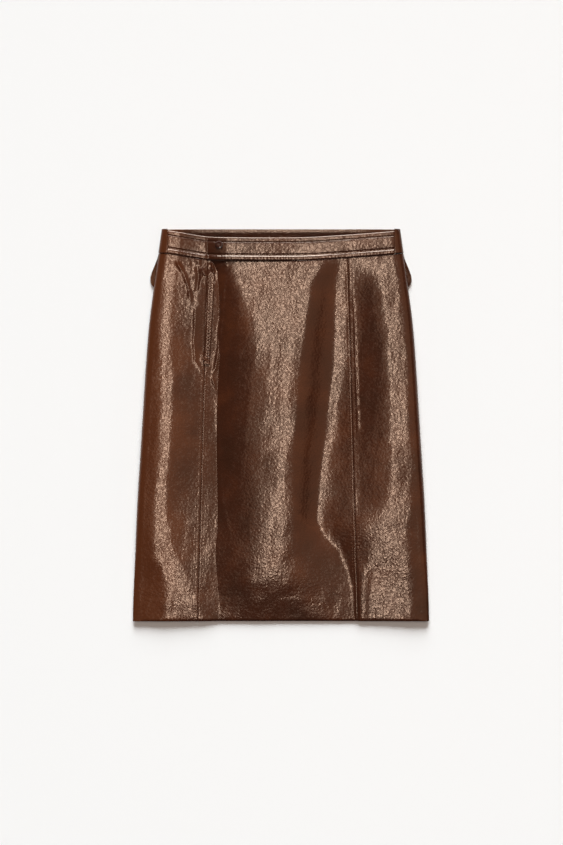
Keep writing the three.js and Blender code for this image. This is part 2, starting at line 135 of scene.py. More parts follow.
FORM = tuple(FormRow(*row) for row in (
    (0, 12.8, 11.4, 8.7, 11.7, 13, 4, -113, 0.03, -78, 60, 98, 4, 0.2, 6, 14, -0.006),
    (40, 13.2, 11.9, 8.9, 12.0, 13, 4, -112, 0.03, -70, 60, 96, 4, 0.2, 6, 16, -0.01),
    (62, 13.5, 13.6, 9.2, 10.0, 13, 4, -99, 0.05, -66, 58, 90, 8, 0.2, 10, 16, -0.012),
    (80, 13.9, 15.2, 9.2, 8.2, 13, 4, -97, 0.09, -62, 46, 86, 9, 0.14, 16, 15, -0.01),
    (110, 14.5, 17.0, 8.8, 6.8, 13, 5, -95, 0.1, -50, 42, 85, 10, 0.13, 16, 14, 0.0),
    (150, 15.3, 18.3, 8.4, 6.0, 15, 6, -95, 0.1, -34, 36, 84, 11, 0.13, 16, 14, 0.012),
    (210, 16.2, 18.8, 8.0, 5.4, 22, 8, -96, 0.09, -16, 28, 82, 10, 0.14, 17, 14, 0.03, 0.0, 2.5),
    (262, 16.8, 18.8, 7.6, 5.0, 28, 7, -98, 0.08, -14, 24, 76, 8, 0.2, 18, 15, 0.035, 0.0, 2.4),
    (340, 16.6, 17.4, 6.8, 4.6, 30, 6, -99, 0.1, -20, 18, 68, 5, 0.35, 16, 17, 0.032, 0.0, 2.3),
    (410, 15.4, 15.1, 6.4, 4.1, 27, 7, -98, 0.1, -24, 18, 60, 3, 0.42, 17, 22, 0.03, 0.0, 1.9),
    (455, 14.0, 13.4, 6.6, 3.9, 26, 12, -98, 0.08, -28, 18, 58, 2, 0.62, 22, 26, 0.03, 0.05, 1.5),
    (500, 12.2, 11.5, 6.4, 4.3, 30, 20, -101, 0.06, -36, 15, 88, 2, 0.45, 34, 28, 0.024, 0.07, 1.4),
    (545, 10.0, 9.3, 5.6, 4.6, 46, 30, -98, 0.05, -42, 12, 106, 2, 0.4, 50, 28, 0.016, 0.04, 1.4),
    (604, 8.4, 3.8, 3.8, 3.1, 50, 50, -92, 0.04, -40, 12, 110, 2, 0.4, 60, 26, 0.01, 0.03, 1.5),
))


class DipRow(NamedTuple):
    """How far the front waist edge dips below the straight back edge."""

    x: float
    dip: float


WAIST_DIP = tuple(DipRow(*row) for row in (
    (-190, 1.0), (-174, 2.3), (-114, 11.4), (-90, 12.8), (30, 12.8), (91, 9.6), (130, 6.9), (176, 3.1),
    (190, 1.0),
))


class FaceRow(NamedTuple):
    """Face of the front waistband from its top edge down, standing proud of the body."""

    drop: float
    proud: float


BAND_FACE = tuple(FaceRow(*row) for row in (
    (0.0, 0.0), (0.7, 0.7), (2.0, 1.1), (5.8, 1.2), (7.4, 0.55), (9.0, 1.15), (17.0, 1.5), (24.5, 1.15),
    (26.6, 0.5), (28.0, 0.45), (30.2, 1.35), (32.2, 1.5), (34.2, 1.35), (36.0, 0.2),
))


class LapRow(NamedTuple):
    """Edges of the lapped margin of the fly, over the left seam."""

    down: float
    outer: float
    inner: float


LAP_EDGES = tuple(LapRow(*row) for row in (
    (51, -113.5, -105), (72, -114, -102), (208, -120, -109.5),
))


class TabRow(NamedTuple):
    """How far a side tab reaches past the fold."""

    down: float
    reach: float


TAB_REACH = tuple(TabRow(*row) for row in (
    (38, 0.2), (44, 0.8), (56, 3.8), (68, 6.9), (77, 7.4), (84, 5.2), (88.5, 1.0),
))


def ease(share: Array) -> Array:
    """Goes from 0 to 1 with a level start and end."""
    return (1 - np.cos(math.pi * np.clip(share, 0, 1))) / 2


def bell(far: Array, reach: float) -> Array:
    """Goes from 1 at the middle to nothing well past its reach."""
    return np.exp(-((far / reach) ** 2))


def waves(along: Array, pitch: float) -> Array:
    """Even waves between -1 and 1, one to each pitch."""
    return np.sin(2 * math.pi * along / pitch)


def even_knot(x: Array, height: Array, slope: Array) -> Knot:
    """A knot of a curve, with one slope before and after it."""
    return x, height, slope, slope


def hermite(t: Array, span: Array, ends: tuple[Array, Array], slopes: tuple[Array, Array]) -> Array:
    """A smooth curve between two knots.

    Args:
        t: Share of the way from the first knot to the second.
        span: Distance between the knots.
        ends: Values at the knots.
        slopes: Slopes at the knots.

    Returns:
        The curve's value at each share.
    """
    return (
        (2 * t**3 - 3 * t**2 + 1) * ends[0]
        + (3 * t**2 - 2 * t**3) * ends[1]
        + span * ((t**3 - 2 * t**2 + t) * slopes[0] + (t**3 - t**2) * slopes[1])
    )


def smooth_column(table: Sequence[NamedTuple], column: str, where: Array) -> Array:
    """Reads one column of a table as a smooth curve over its first column.

    Args:
        table: Rows in rising order of their first column.
        column: Name of the column to read.
        where: Places along the first column.

    Returns:
        The column's value at each place.
    """
    keys = np.array([row[0] for row in table], float)
    values = np.array([getattr(row, column) for row in table], float)
    last = len(keys) - 1
    before, after = np.maximum(np.arange(last + 1) - 1, 0), np.minimum(np.arange(last + 1) + 1, last)
    slopes = (values[after] - values[before]) / (keys[after] - keys[before])
    i = np.clip(np.searchsorted(keys, where, side="right") - 1, 0, last - 1)
    span = keys[i + 1] - keys[i]
    t = np.clip((where - keys[i]) / span, 0, 1)
    return hermite(t, span, (values[i], values[i + 1]), (slopes[i], slopes[i + 1]))


def straight_column(table: Sequence[NamedTuple], column: str, where: Array) -> Array:
    """Reads one column of a table with straight lines between its rows."""
    return np.interp(where, [row[0] for row in table], [getattr(row, column) for row in table])


def points_at(x: Array, down: Array, height: Array) -> Array:
    """Joins places across, down and up into points of the shared frame."""
    return np.stack(np.broadcast_arrays(x, WAIST_Y - down, height), axis=-1).astype(float)


# ---- Relief in the leather ----


@dataclass(frozen=True)
class Noise:
    """Smooth random relief between its height and the same depth.

    Args:
        height: Most that it adds.
        size: Distance between its random values, in millimetres.
        seed: Which random field it reads.
    """

    height: float
    size: float
    seed: int

    def at(self, x: Array, y: Array) -> Array:
        """The relief at each place.

        Args:
            x: Across, in millimetres.
            y: Down, in millimetres.

        Returns:
            The relief in millimetres.
        """
        cells = 512
        values = np.random.default_rng(self.seed).uniform(-1, 1, (cells, cells))
        px, py = x / self.size + cells / 2, y / self.size + cells / 2
        ix, iy = np.floor(px).astype(int), np.floor(py).astype(int)
        fx, fy = px - ix, py - iy
        fx, fy = fx * fx * (3 - 2 * fx), fy * fy * (3 - 2 * fy)
        ix, iy = ix % cells, iy % cells
        jx, jy = (ix + 1) % cells, (iy + 1) % cells
        top = values[ix, iy] * (1 - fx) + values[jx, iy] * fx
        low = values[ix, jy] * (1 - fx) + values[jx, jy] * fx
        return self.height * (top * (1 - fy) + low * fy)


CREASE_FALLOFF = 2.2
CREASE_PATCH = 2.2
CREASE_STEEPENING = 0.6
CREASE_TAPER = 6
CREASE_SEED = 40


@dataclass(frozen=True)
class Crease:
    """A soft ridge or trough along a line on the laid front.

    Args:
        line: Points of the line as (x, down), in millimetres.
        height: Height of the ridge; a trough is below zero.
        width: Reach of the ridge to each side.
        skew: 0 for an even ridge, up to 1 for one that is steep on its right side.
        unevenness: Share of the height that comes and goes along the line.
    """

    line: tuple[tuple[float, float], ...]
    height: float
    width: float
    skew: float = 0.0
    unevenness: float = 0.25

    def relief(self, x: Array, down: Array) -> Array:
        """Height that the crease adds at each place.

        Args:
            x: Across, in millimetres.
            down: Distance down, in millimetres.

        Returns:
            Millimetres to add.
        """
        best = np.full(x.shape, np.inf)
        side = np.zeros(x.shape)
        along = np.zeros(x.shape)
        lengths = [math.dist(a, b) for a, b in zip(self.line, self.line[1:])]
        total, run = sum(lengths), 0.0
        for (ax, ay), (bx, by), length in zip(self.line, self.line[1:], lengths):
            ux, uy = (bx - ax) / length, (by - ay) / length
            t = np.clip((x - ax) * ux + (down - ay) * uy, 0, length)
            dx, dy = x - (ax + ux * t), down - (ay + uy * t)
            gap = np.hypot(dx, dy)
            closer = gap < best
            best = np.where(closer, gap, best)
            side = np.where(closer, dx, side)
            along = np.where(closer, (run + t) / total, along)
            run += length
        reach = self.width * np.where(side > 0, 1 - CREASE_STEEPENING * self.skew, 1.0)
        ridge = np.exp(-((best / reach) ** 2) * CREASE_FALLOFF)
        ends = ease(along * CREASE_TAPER) * ease((1 - along) * CREASE_TAPER)
        patches = Noise(self.unevenness, self.width * CREASE_PATCH, len(self.line) + CREASE_SEED)
        return self.height * ridge * ends * (1 + patches.at(along * total, along * 0))


FRONT_CREASES = (
    Crease(((-163, 47), (-151, 66), (-143.5, 85), (-139.5, 103), (-138, 114)), 1.0, 3.6, unevenness=0.6),
    Crease(((-136, 112), (-131.7, 124), (-132.7, 157), (-134, 173), (-131.5, 204), (-123.7, 216),
            (-120, 226)), 0.6, 4.0, unevenness=0.3),
    Crease(((-86.4, 70), (-89, 96), (-91.5, 136), (-94, 157), (-95.7, 188), (-100.6, 213), (-108, 228)),
           1.0, 4.2, unevenness=0.3),
    Crease(((-100, 63), (-94, 55), (-88, 52.5), (-81, 57)), 1.0, 2.6, unevenness=0.4),
    Crease(((-107, 225), (-104.5, 234), (-101.5, 245)), 0.7, 2.6, unevenness=0.5),
    Crease(((-102, 244), (-98.8, 262), (-95, 340), (-91, 417), (-76, 478)), 0.25, 5.0, skew=0.4),
    Crease(((-134, 46), (-128, 49), (-124, 52)), 1.2, 4.4, unevenness=0.8),
    Crease(((-122, 60), (-118.5, 66), (-117, 72)), 1.2, 3.6, unevenness=0.8),
    Crease(((-124, 189), (-120.4, 196), (-118, 204)), 0.8, 4.2, unevenness=0.8),
    Crease(((-106, 50), (-104.5, 60), (-103, 70)), 0.9, 2.4, unevenness=0.8),
    Crease(((-128, 58), (-127, 74), (-130, 98)), -0.9, 4.5, unevenness=0.5),
    Crease(((109, 84), (113, 130), (115, 200), (117, 262), (120, 330)), 0.45, 3.0, unevenness=0.9),
)

BACK_CREASES = (
    Crease(((-150, 60), (-128, 170), (-118, 300)), 1.5, 15.0),
    Crease(((-176, 330), (-120, 390), (-96, 480), (-104, 560)), 1.2, 11.0, unevenness=0.5),
    Crease(((-40, 70), (-52, 190), (-38, 260)), 0.9, 12.0, unevenness=0.5),
    Crease(((20, 230), (12, 360), (34, 500)), 1.3, 18.0),
    Crease(((96, 64), (110, 200), (102, 330), (128, 450)), 1.6, 14.0),
    Crease(((176, 120), (162, 250)), 1.0, 9.0, unevenness=0.5),
    Crease(((-90, 520), (-20, 540), (60, 526)), 0.8, 9.0, unevenness=0.5),
)


@dataclass(frozen=True)
class SeamRelief:
    """The pressed-open allowances and the pull of the topstitching beside a long front seam."""

    allowance: float = 6.4
    press: float = 0.08
    press_out: float = 1.8
    press_width: float = 2.4
    groove: float = 0.12
    groove_width: float = 1.1
    stitch_offset: float = 5.0
    stitch_dip: float = 0.1
    stitch_width: float = 0.9
    pull_width: float = 2.4
    pucker: float = 0.2
    pitch: float = 4.7
    patch: Noise = Noise(0.6, 23, 5)
    drift: Noise = Noise(2.0, 17, 6)
    row_gap: float = 40

    def relief(self, across: Array, down: Array) -> Array:
        """Height added beside the seam, by the distance across from it.

        Args:
            across: Distance across from the seam, below 0 on its -X side.
            down: Distance down, in millimetres.

        Returns:
            Millimetres to add.
        """
        far = np.abs(across)
        flat = self.press * ease((self.allowance + self.press_out - far) / self.press_width)
        groove = -self.groove * bell(far, self.groove_width)
        stitch = -self.stitch_dip * bell(far - self.stitch_offset, self.stitch_width)
        uneven = 1 + self.patch.at(across * 0, down)
        wave = waves(down + self.drift.at(np.sign(across) * self.row_gap, down), self.pitch)
        pulled = bell(far - self.stitch_offset, self.pull_width)
        return flat + groove + stitch + self.pucker * uneven * wave * pulled


@dataclass(frozen=True)
class FlyRelief:
    """The fly facing pressed through the leather, closing in a V at its foot."""

    top: float = 62
    straight_end: float = 196
    tip: float = 226
    left: float = -134
    right: float = -93
    tip_x: float = -112.5
    height: float = 0.15
    edge: float = 6.0
    crumple: float = 0.75
    coarse: Noise = Noise(1.0, 9.0, 11)
    fine: Noise = Noise(0.45, 9.0 / 2.3, 12)
    sag_depth: float = 1.0
    sag_reach: float = 9.0
    sag_return: float = 3.0
    sag_inset: float = 1.0
    sag_start: float = 4
    sag_rise: float = 20
    sag_past: float = 10
    sag_end: float = 12
    spots: tuple[tuple[float, ...], ...] = ((-116, 62, 20, 18, 1.0), (-142, 92, 6, 20, 0.8))

    def sag(self, x: Array, down: Array) -> Array:
        """How far the leather sinks towards the lapped margin from its outer side.

        Args:
            x: Across, in millimetres.
            down: Distance down, in millimetres.

        Returns:
            Millimetres to add, 0 or below.
        """
        slit = straight_column(LAP_EDGES, "outer", down) + self.sag_inset
        outside = bell(slit - x, self.sag_reach)
        under = 1 - ease((x - slit) / self.sag_return)
        start = ease((down - self.top - self.sag_start) / self.sag_rise)
        ends = start * ease((self.straight_end + self.sag_past - down) / self.sag_end)
        return -self.sag_depth * np.where(x < slit, outside, under) * ends

    def relief(self, x: Array, down: Array) -> Array:
        """Height of the facing, and the crumples where the zip ends under the band.

        Args:
            x: Across, in millimetres.
            down: Distance down, in millimetres.

        Returns:
            Millimetres to add.
        """
        close = np.clip((down - self.straight_end) / (self.tip - self.straight_end), 0, None)
        left = self.left + (self.tip_x - self.left) * close
        right = self.right + (self.tip_x - self.right) * close
        across = ease((x - left) / self.edge) * ease((right - x) / self.edge)
        plateau = self.height * across * ease((down - self.top) / self.edge)
        plateau = plateau * ease((self.tip - down) / self.edge)
        near = sum(share * np.exp(-(((x - middle) / wide) ** 2) - (((down - low) / tall) ** 2))
                   for middle, low, wide, tall, share in self.spots)
        rough = self.coarse.at(x + 0.5 * down, down) + self.fine.at(x, down + 0.4 * x)
        return plateau + self.sag(x, down) + self.crumple * near * rough


@dataclass(frozen=True)
class HemRelief:
    """The turned hem: a rolled edge, small puckers along it, and the pressed line of its allowance."""

    allowance: float = 37.0
    line_height: float = 0.08
    line_width: float = 3.0
    roll: float = 1.0
    roll_width: float = 3.0
    pucker: float = 0.22
    pucker_reach: float = 7.0
    pitch: float = 4.6
    drift: Noise = Noise(3.0, 21, 8)
    patch: Noise = Noise(1.0, 38, 9)
    patch_mean: float = 0.6
    patch_most: float = 1.4

    def relief(self, x: Array, down: Array) -> Array:
        """Height that the hem adds at each place.

        Args:
            x: Across, in millimetres.
            down: Distance down, in millimetres.

        Returns:
            Millimetres to add.
        """
        up = LENGTH - down
        roll = -self.roll * np.clip((self.roll_width - up) / self.roll_width, 0, 1) ** 2
        line = self.line_height * ease((self.allowance - up) / self.line_width)
        wave = waves(x + self.drift.at(x, x * 0), self.pitch)
        patchy = np.clip(self.patch_mean + self.patch.at(x, x * 0), 0, self.patch_most)
        return roll + line + self.pucker * (bell(up, self.pucker_reach) * patchy) * wave


@dataclass(frozen=True)
class HideRelief:
    """Soft unevenness of laid leather: broad buckles and shallow wrinkles."""

    buckle: Noise = Noise(0.4, 42.0, 21)
    wrinkle: Noise = Noise(0.15, 16.0, 22)
    streak: Noise = Noise(0.08, 8.5, 23)
    streak_lean: float = 0.12
    streak_stretch: float = 0.22

    def relief(self, x: Array, down: Array) -> Array:
        """Height of the unevenness at each place."""
        uneven = self.buckle.at(x, down * 0.7) + self.wrinkle.at(x * 0.8 + 0.3 * down, down)
        return uneven + self.streak.at(x + self.streak_lean * down, down * self.streak_stretch)


# ---- The laid form ----


@dataclass
class LaidForm:
    """The outside surface of the laid skirt, which every leather piece follows."""

    shoulder_width: float = 12.0
    edge_slope: float = 0.05
    crest_round: float = 7.0
    dish: float = 0.00026
    right_dish: tuple[tuple[float, float], tuple[float, float]] = ((430, 520), (0.5, 1.0))
    steep: float = 1.3
    steep_after: float = 8.0
    shelf_slope: float = 0.0017
    turn_past: float = 4.0
    far_rim: float = 2.0
    least_gap: float = 0.01
    calm_past: float = 4
    calm_width: float = 14
    band_share: float = 0.45
    under_width: float = 9.0
    seam_left: tuple[float, float] = (-113.0, -129.0)
    seam_right: tuple[float, float] = (103.0, 118.0)
    seam_top_down: float = 50.0
    seam_relief: SeamRelief = SeamRelief()
    fly_relief: FlyRelief = FlyRelief()
    hem_relief: HemRelief = HemRelief()
    hide_relief: HideRelief = HideRelief()

    def half_width(self, down: Array) -> Array:
        """Half the width of the body at each distance down."""
        return smooth_column(OUTLINE, "half", down)

    def fold_height(self, down: Array) -> Array:
        """Height of the folds' widest line."""
        return smooth_column(OUTLINE, "fold", down)

    def seam_x(self, side: Side, down: Array) -> Array:
        """X of a long front seam."""
        top, hem = self.seam_left if side is Side.LEFT else self.seam_right
        return top + (hem - top) * (down - self.seam_top_down) / (LENGTH - self.seam_top_down)

    def waist_dip(self, x: Array) -> Array:
        """How far the front waist edge lies below the back one."""
        return smooth_column(WAIST_DIP, "dip", x)

    def edge_height(self, x: Array, down: Array) -> Array:
        """Height of the front where a fold's rounding begins.

        Args:
            x: Across; only its side of the middle counts.
            down: Distance down, in millimetres.

        Returns:
            Millimetres up.
        """
        left, right = (smooth_column(FORM, name, down) for name in ("crest_left", "crest_right"))
        past = np.maximum(np.where(x < 0, left, right) - self.shoulder_width, 0)
        return smooth_column(FORM, "shoulder", down) - self.edge_slope * past

    def base_height(self, x: Array, down: Array) -> Array:
        """Height of the plain laid front between the shoulders, as curves between knots across it.

        Args:
            x: Across, in millimetres.
            down: Distance down, in millimetres.

        Returns:
            Millimetres up.
        """
        half = self.half_width(down)
        row = FormRow(down, *(smooth_column(FORM, name, down) for name in FormRow._fields[1:]))
        edge = half - self.shoulder_width
        none = edge * 0
        crest = row.crest_left - half
        knots = [
            even_knot(-edge, self.edge_height(none - 1, down), self.edge_slope + none),
            even_knot(crest, row.shoulder, none),
            *self.bank(crest + self.crest_round, row.shoulder, row.bank_left),
        ]
        inner, high, _, slope = knots[-1]
        fall = self.steep * (high - row.low_left) / (row.foot_left - inner)
        drop = self.steep_after * (fall - slope) / 2
        rise = (row.pillow - row.low_left) / (row.flat_left - row.foot_left)
        shelf = self.shelf_slope * row.shelf
        knots += [
            even_knot(inner + self.steep_after, high - drop, -fall),
            (row.foot_left, row.low_left, -row.fall_left, row.sharpness * rise),
            even_knot(row.flat_left, row.pillow, row.rim),
            even_knot(row.flat_right, row.pillow, -self.far_rim * row.rim),
            (row.foot_right, row.low_right, shelf - row.notch, shelf + row.notch),
        ]
        shelf_end = row.foot_right + row.shelf
        high = row.low_right + shelf * row.shelf
        turn = np.maximum(self.seam_x(Side.RIGHT, down) + self.turn_past, shelf_end + 1)
        far = high + row.climb * (row.shoulder - high)
        crest = half - row.crest_right
        dish = np.interp(down, *self.right_dish)
        knots += [
            even_knot(shelf_end, high, shelf),
            even_knot(turn, far, (far - high) / (turn - shelf_end)),
            *self.bank(crest - self.crest_round, row.shoulder, -row.bank_right, dish)[::-1],
            even_knot(np.minimum(crest, edge - self.least_gap), row.shoulder, none),
            even_knot(edge, self.edge_height(none + 1, down), none - self.edge_slope),
        ]
        height = knots[0][1]
        for (x0, z0, _, m0), (x1, z1, m1, _) in zip(knots, knots[1:]):
            span = np.maximum(x1 - x0, self.least_gap)
            t = np.clip((x - x0) / span, 0, 1)
            height = np.where(x > x0, hermite(t, span, (z0, z1), (m0, m1)), height)
        return height

    def bank(self, outer: Array, shoulder: Array, width: Array,
             share: Array | float = 1.0) -> list[Knot]:
        """The outer and inner knots of the dished bank inside a crest.

        Args:
            outer: X of the bank's outer end.
            shoulder: Height of the crest beside it.
            width: Width of the bank, below 0 where it runs towards -X.
            share: Share of the full dish that the bank has.

        Returns:
            Each knot's x, height, and slopes before and after it.
        """
        inner, dish = outer + width, self.dish * share
        top = shoulder - dish * np.abs(outer) * self.crest_round / 2
        foot = top - dish * np.abs(outer**2 - inner**2) / 2
        return [even_knot(outer, top, dish * outer), even_knot(inner, foot, dish * inner)]

    def relief(self, x: Array, down: Array, body: bool) -> Array:
        """Seams, creases and puckers on top of the plain form.

        Args:
            x: Across, in millimetres.
            down: Distance down, in millimetres.
            body: False on the waistband, which is smoother and has none of the body's seams.

        Returns:
            The height to add at each place.
        """
        edge = self.half_width(down) - self.shoulder_width
        calm = ease((edge + self.calm_past - np.abs(x)) / self.calm_width)
        total = self.hide_relief.relief(x, down) * (1.0 if body else self.band_share)
        if body:
            for side in Side:
                total = total + self.seam_relief.relief(x - self.seam_x(side, down), down)
            total = total + self.fly_relief.relief(x, down) + self.hem_relief.relief(x, down)
            for crease in FRONT_CREASES:
                total = total + crease.relief(x, down)
        return total * calm

    def front_point(self, x: Array, down: Array, body: bool = True) -> Array:
        """Points of the front, out to the folds' widest lines.

        Args:
            x: Across, in millimetres.
            down: Distance down, in millimetres.
            body: False on the waistband, which has none of the body's seams.

        Returns:
            The points in millimetres.
        """
        low, high = self.fold_height(down), self.edge_height(x, down)
        past = np.clip((np.abs(x) - self.half_width(down) + self.shoulder_width) / self.shoulder_width, 0, 1)
        rounded = low + (high - low) * np.sqrt(1 - past**2)
        height = np.where(past > 0, rounded, self.base_height(x, down)) + self.relief(x, down, body)
        return points_at(x, down, height)

    def upper_fold(self, side: Side, turn: Array, down: Array) -> Array:
        """Points round the upper half of a fold, from its widest line to the shoulder.

        Args:
            side: Which side.
            turn: Angle up from the widest line, in radians.
            down: Distance down, in millimetres.

        Returns:
            The points in millimetres.
        """
        x = side.value * (self.half_width(down) - self.shoulder_width * (1 - np.cos(turn)))
        low, high = self.fold_height(down), self.edge_height(x, down)
        return points_at(x, down, low + (high - low) * np.sin(turn))

    def lower_fold(self, side: Side, turn: Array, down: Array) -> Array:
        """Points round the lower half of a fold, from its widest line to the floor.

        Args:
            side: Which side.
            turn: Angle down from the widest line, in radians.
            down: Distance down, in millimetres.

        Returns:
            The points in millimetres.
        """
        low = self.fold_height(down)
        x = side.value * (self.half_width(down) - self.under_width * (1 - np.cos(turn)))
        return points_at(x, down, low * (1 - np.sin(turn)))


def normals_of(place: Place, across: Array, down: Array, step: float = 0.05) -> Array:
    """Outward unit normals of a surface whose rows run down and whose columns run along the front.

    Args:
        place: Gives the points of the surface, from its two coordinates.
        across: First coordinate.
        down: Second coordinate.
        step: How far to each side the compared points are.

    Returns:
        A normal for each place.
    """
    along = place(across + step, down) - place(across - step, down)
    downward = place(across, down + step) - place(across, down - step)
    normal = np.cross(downward, along)
    return normal / np.linalg.norm(normal, axis=-1, keepdims=True)


# ---- Finishes ----


def srgb(code: str) -> tuple[float, float, float, float]:
    """Turns an sRGB hex colour into a linear one with full alpha.

    Args:
        code: The colour, as # and six hexadecimal digits.

    Returns:
        Linear red, green and blue, and alpha.
    """
    parts = [int(code[i:i + 2], 16) / 255 for i in (1, 3, 5)]
    linear = [c / 12.92 if c <= 0.04045 else ((c + 0.055) / 1.055) ** 2.4 for c in parts]
    return (*linear, 1.0)


def feed(tree: NodeTree, node: Node, inputs: dict) -> None:
    """Sets a node's inputs to values, or links them to the sockets that feed them.

    Args:
        tree: The node tree.
        node: The node to set.
        inputs: Input names or numbers, each with a value or an output socket.
    """
    for name, value in inputs.items():
        if isinstance(value, NodeSocket):
            tree.links.new(value, node.inputs[name])
        else:
            node.inputs[name].default_value = value


def add_node(tree: NodeTree, kind: str, settings: dict | None = None,
             inputs: dict | None = None) -> Node:
    """Adds one node, with its settings, and its inputs as values or as the sockets that feed them.

    Args:
        tree: The node tree.
        kind: The node's type name.
        settings: Properties to set on the node.
        inputs: Input names or numbers, each with a value or an output socket.

    Returns:
        The new node.
    """
    node = tree.nodes.new(kind)
    for name, value in (settings or {}).items():
        setattr(node, name, value)
    feed(tree, node, inputs or {})
    return node


def texture(tree: NodeTree, kind: str, place: NodeSocket, size_mm: float,
            settings: dict | None = None, **inputs: float) -> Node:
    """Adds one procedural texture with features about size_mm across."""
    return add_node(tree, f"ShaderNodeTex{kind}", settings, {
        "Vector": place, "Scale": 1 / (size_mm * MM), **inputs})


def bump(tree: NodeTree, height: NodeSocket, height_mm: float, strength: float = 1.0,
         below: Node | None = None) -> Node:
    """Adds one bump of a height in millimetres, over another where one is given.

    Args:
        tree: The node tree.
        height: The socket that gives the height.
        height_mm: Height of the full relief, in millimetres.
        strength: Strength of the bump.
        below: The bump beneath it.

    Returns:
        The new node.
    """
    under = {"Normal": below.outputs["Normal"]} if below else {}
    return add_node(tree, "ShaderNodeBump", inputs={
        "Strength": strength, "Distance": height_mm * MM, "Height": height, **under})


def new_material(name: str) -> tuple[Material, NodeTree, Node, NodeSocket]:
    """Makes an empty material with one Principled shader.

    Args:
        name: Name of the material.

    Returns:
        The material, its node tree, its shader node and its Object coordinates.
    """
    material = bpy.data.materials.new(name)
    material.use_nodes = True
    tree = material.node_tree
    tree.nodes.clear()
    shader = add_node(tree, "ShaderNodeBsdfPrincipled")
    add_node(tree, "ShaderNodeOutputMaterial", inputs={"Surface": shader.outputs["BSDF"]})
    return material, tree, shader, add_node(tree, "ShaderNodeTexCoord").outputs["Object"]


@dataclass(frozen=True)
class WaxedLeather:
    """Aniline-dyed cow leather with a waxed, glazed face.

    The dye leaves cloudy light and dark areas, the glazing a thin clear gloss over fine pebbles,
    and handling small crinkles that break the gloss into specks. Towards the left fold the base colour
    is lightened: painted light, standing in for the light that the left edge catches.
    """

    name: str = "waxed_aniline_leather"
    deep: str = "#2e160a"
    mid: str = "#3a1a0b"
    warm: str = "#4f2712"
    glaze: str = "#ffe4d0"
    roughness: float = 0.13
    dull_roughness: float = 0.25
    speck_mm: float = 3.6
    coat: float = 0.1
    coat_roughness: float = 0.45
    pebble_mm: float = 3.2
    pebble_height_mm: float = 0.13
    crinkle_mm: float = 7.0
    crinkle_height_mm: float = 0.1
    wrinkle_mm: float = 26.0
    wrinkle_height_mm: float = 0.12
    cloud_mm: float = 60.0
    ramp: tuple[float, float, float] = (0.26, 0.52, 0.82)
    # Painted light: how much, and from where to where across X, the base colour is lightened towards the
    # left fold
    left_painted_light: float = 0.55
    left_painted_light_from_mm: float = -130
    left_painted_light_to_mm: float = -205

    def build(self) -> Material:
        """Makes the material.

        Returns:
            The new material.
        """
        material, tree, shader, place = new_material(self.name)
        clouds = texture(tree, "Noise", place, self.cloud_mm, Detail=5.0, Roughness=0.6)
        across = add_node(tree, "ShaderNodeSeparateXYZ", inputs={"Vector": place})
        # Painted light: lightens the base colour from x = -130 mm out to the left fold, standing in for
        # light the left edge catches
        left_painted_light = add_node(tree, "ShaderNodeMapRange", {"interpolation_type": "SMOOTHSTEP"}, {
            "Value": across.outputs["X"], "From Min": self.left_painted_light_from_mm * MM,
            "From Max": self.left_painted_light_to_mm * MM, "To Min": 0.0, "To Max": self.left_painted_light})
        shade = add_node(tree, "ShaderNodeMath", {"operation": "ADD"}, {
            0: clouds.outputs["Fac"], 1: left_painted_light.outputs["Result"]})
        ramp = add_node(tree, "ShaderNodeValToRGB", inputs={"Fac": shade.outputs["Value"]})
        first, last = ramp.color_ramp.elements
        first.position, last.position = self.ramp[0], self.ramp[2]
        first.color, last.color = srgb(self.deep), srgb(self.warm)
        ramp.color_ramp.elements.new(self.ramp[1]).color = srgb(self.mid)
        pebble = texture(tree, "Voronoi", place, self.pebble_mm, {"feature": "SMOOTH_F1"}, Randomness=1.0)
        crinkle = texture(tree, "Noise", place, self.crinkle_mm, Detail=1.0, Roughness=0.4)
        wrinkle = texture(tree, "Noise", place, self.wrinkle_mm, {
            "noise_type": "RIDGED_MULTIFRACTAL", "normalize": False}, Detail=1.5, Roughness=0.5)
        relief = bump(tree, wrinkle.outputs["Fac"], self.wrinkle_height_mm)
        relief = bump(tree, crinkle.outputs["Fac"], self.crinkle_height_mm, below=relief)
        relief = bump(tree, pebble.outputs["Distance"], self.pebble_height_mm, below=relief)
        specks = texture(tree, "Noise", place, self.speck_mm, Detail=2.0, Roughness=0.6)
        gloss = add_node(tree, "ShaderNodeMapRange", inputs={
            "Value": specks.outputs["Fac"], "From Min": 0.46, "From Max": 0.62,
            "To Min": self.roughness, "To Max": self.dull_roughness})
        feed(tree, shader, {
            "Base Color": ramp.outputs["Color"], "Roughness": gloss.outputs["Result"],
            "Normal": relief.outputs["Normal"], "Coat Normal": relief.outputs["Normal"],
            "Specular IOR Level": 0.6, "Specular Tint": srgb(self.glaze), "Coat Weight": self.coat,
            "Coat Roughness": self.coat_roughness, "Coat IOR": 1.5})
        return material


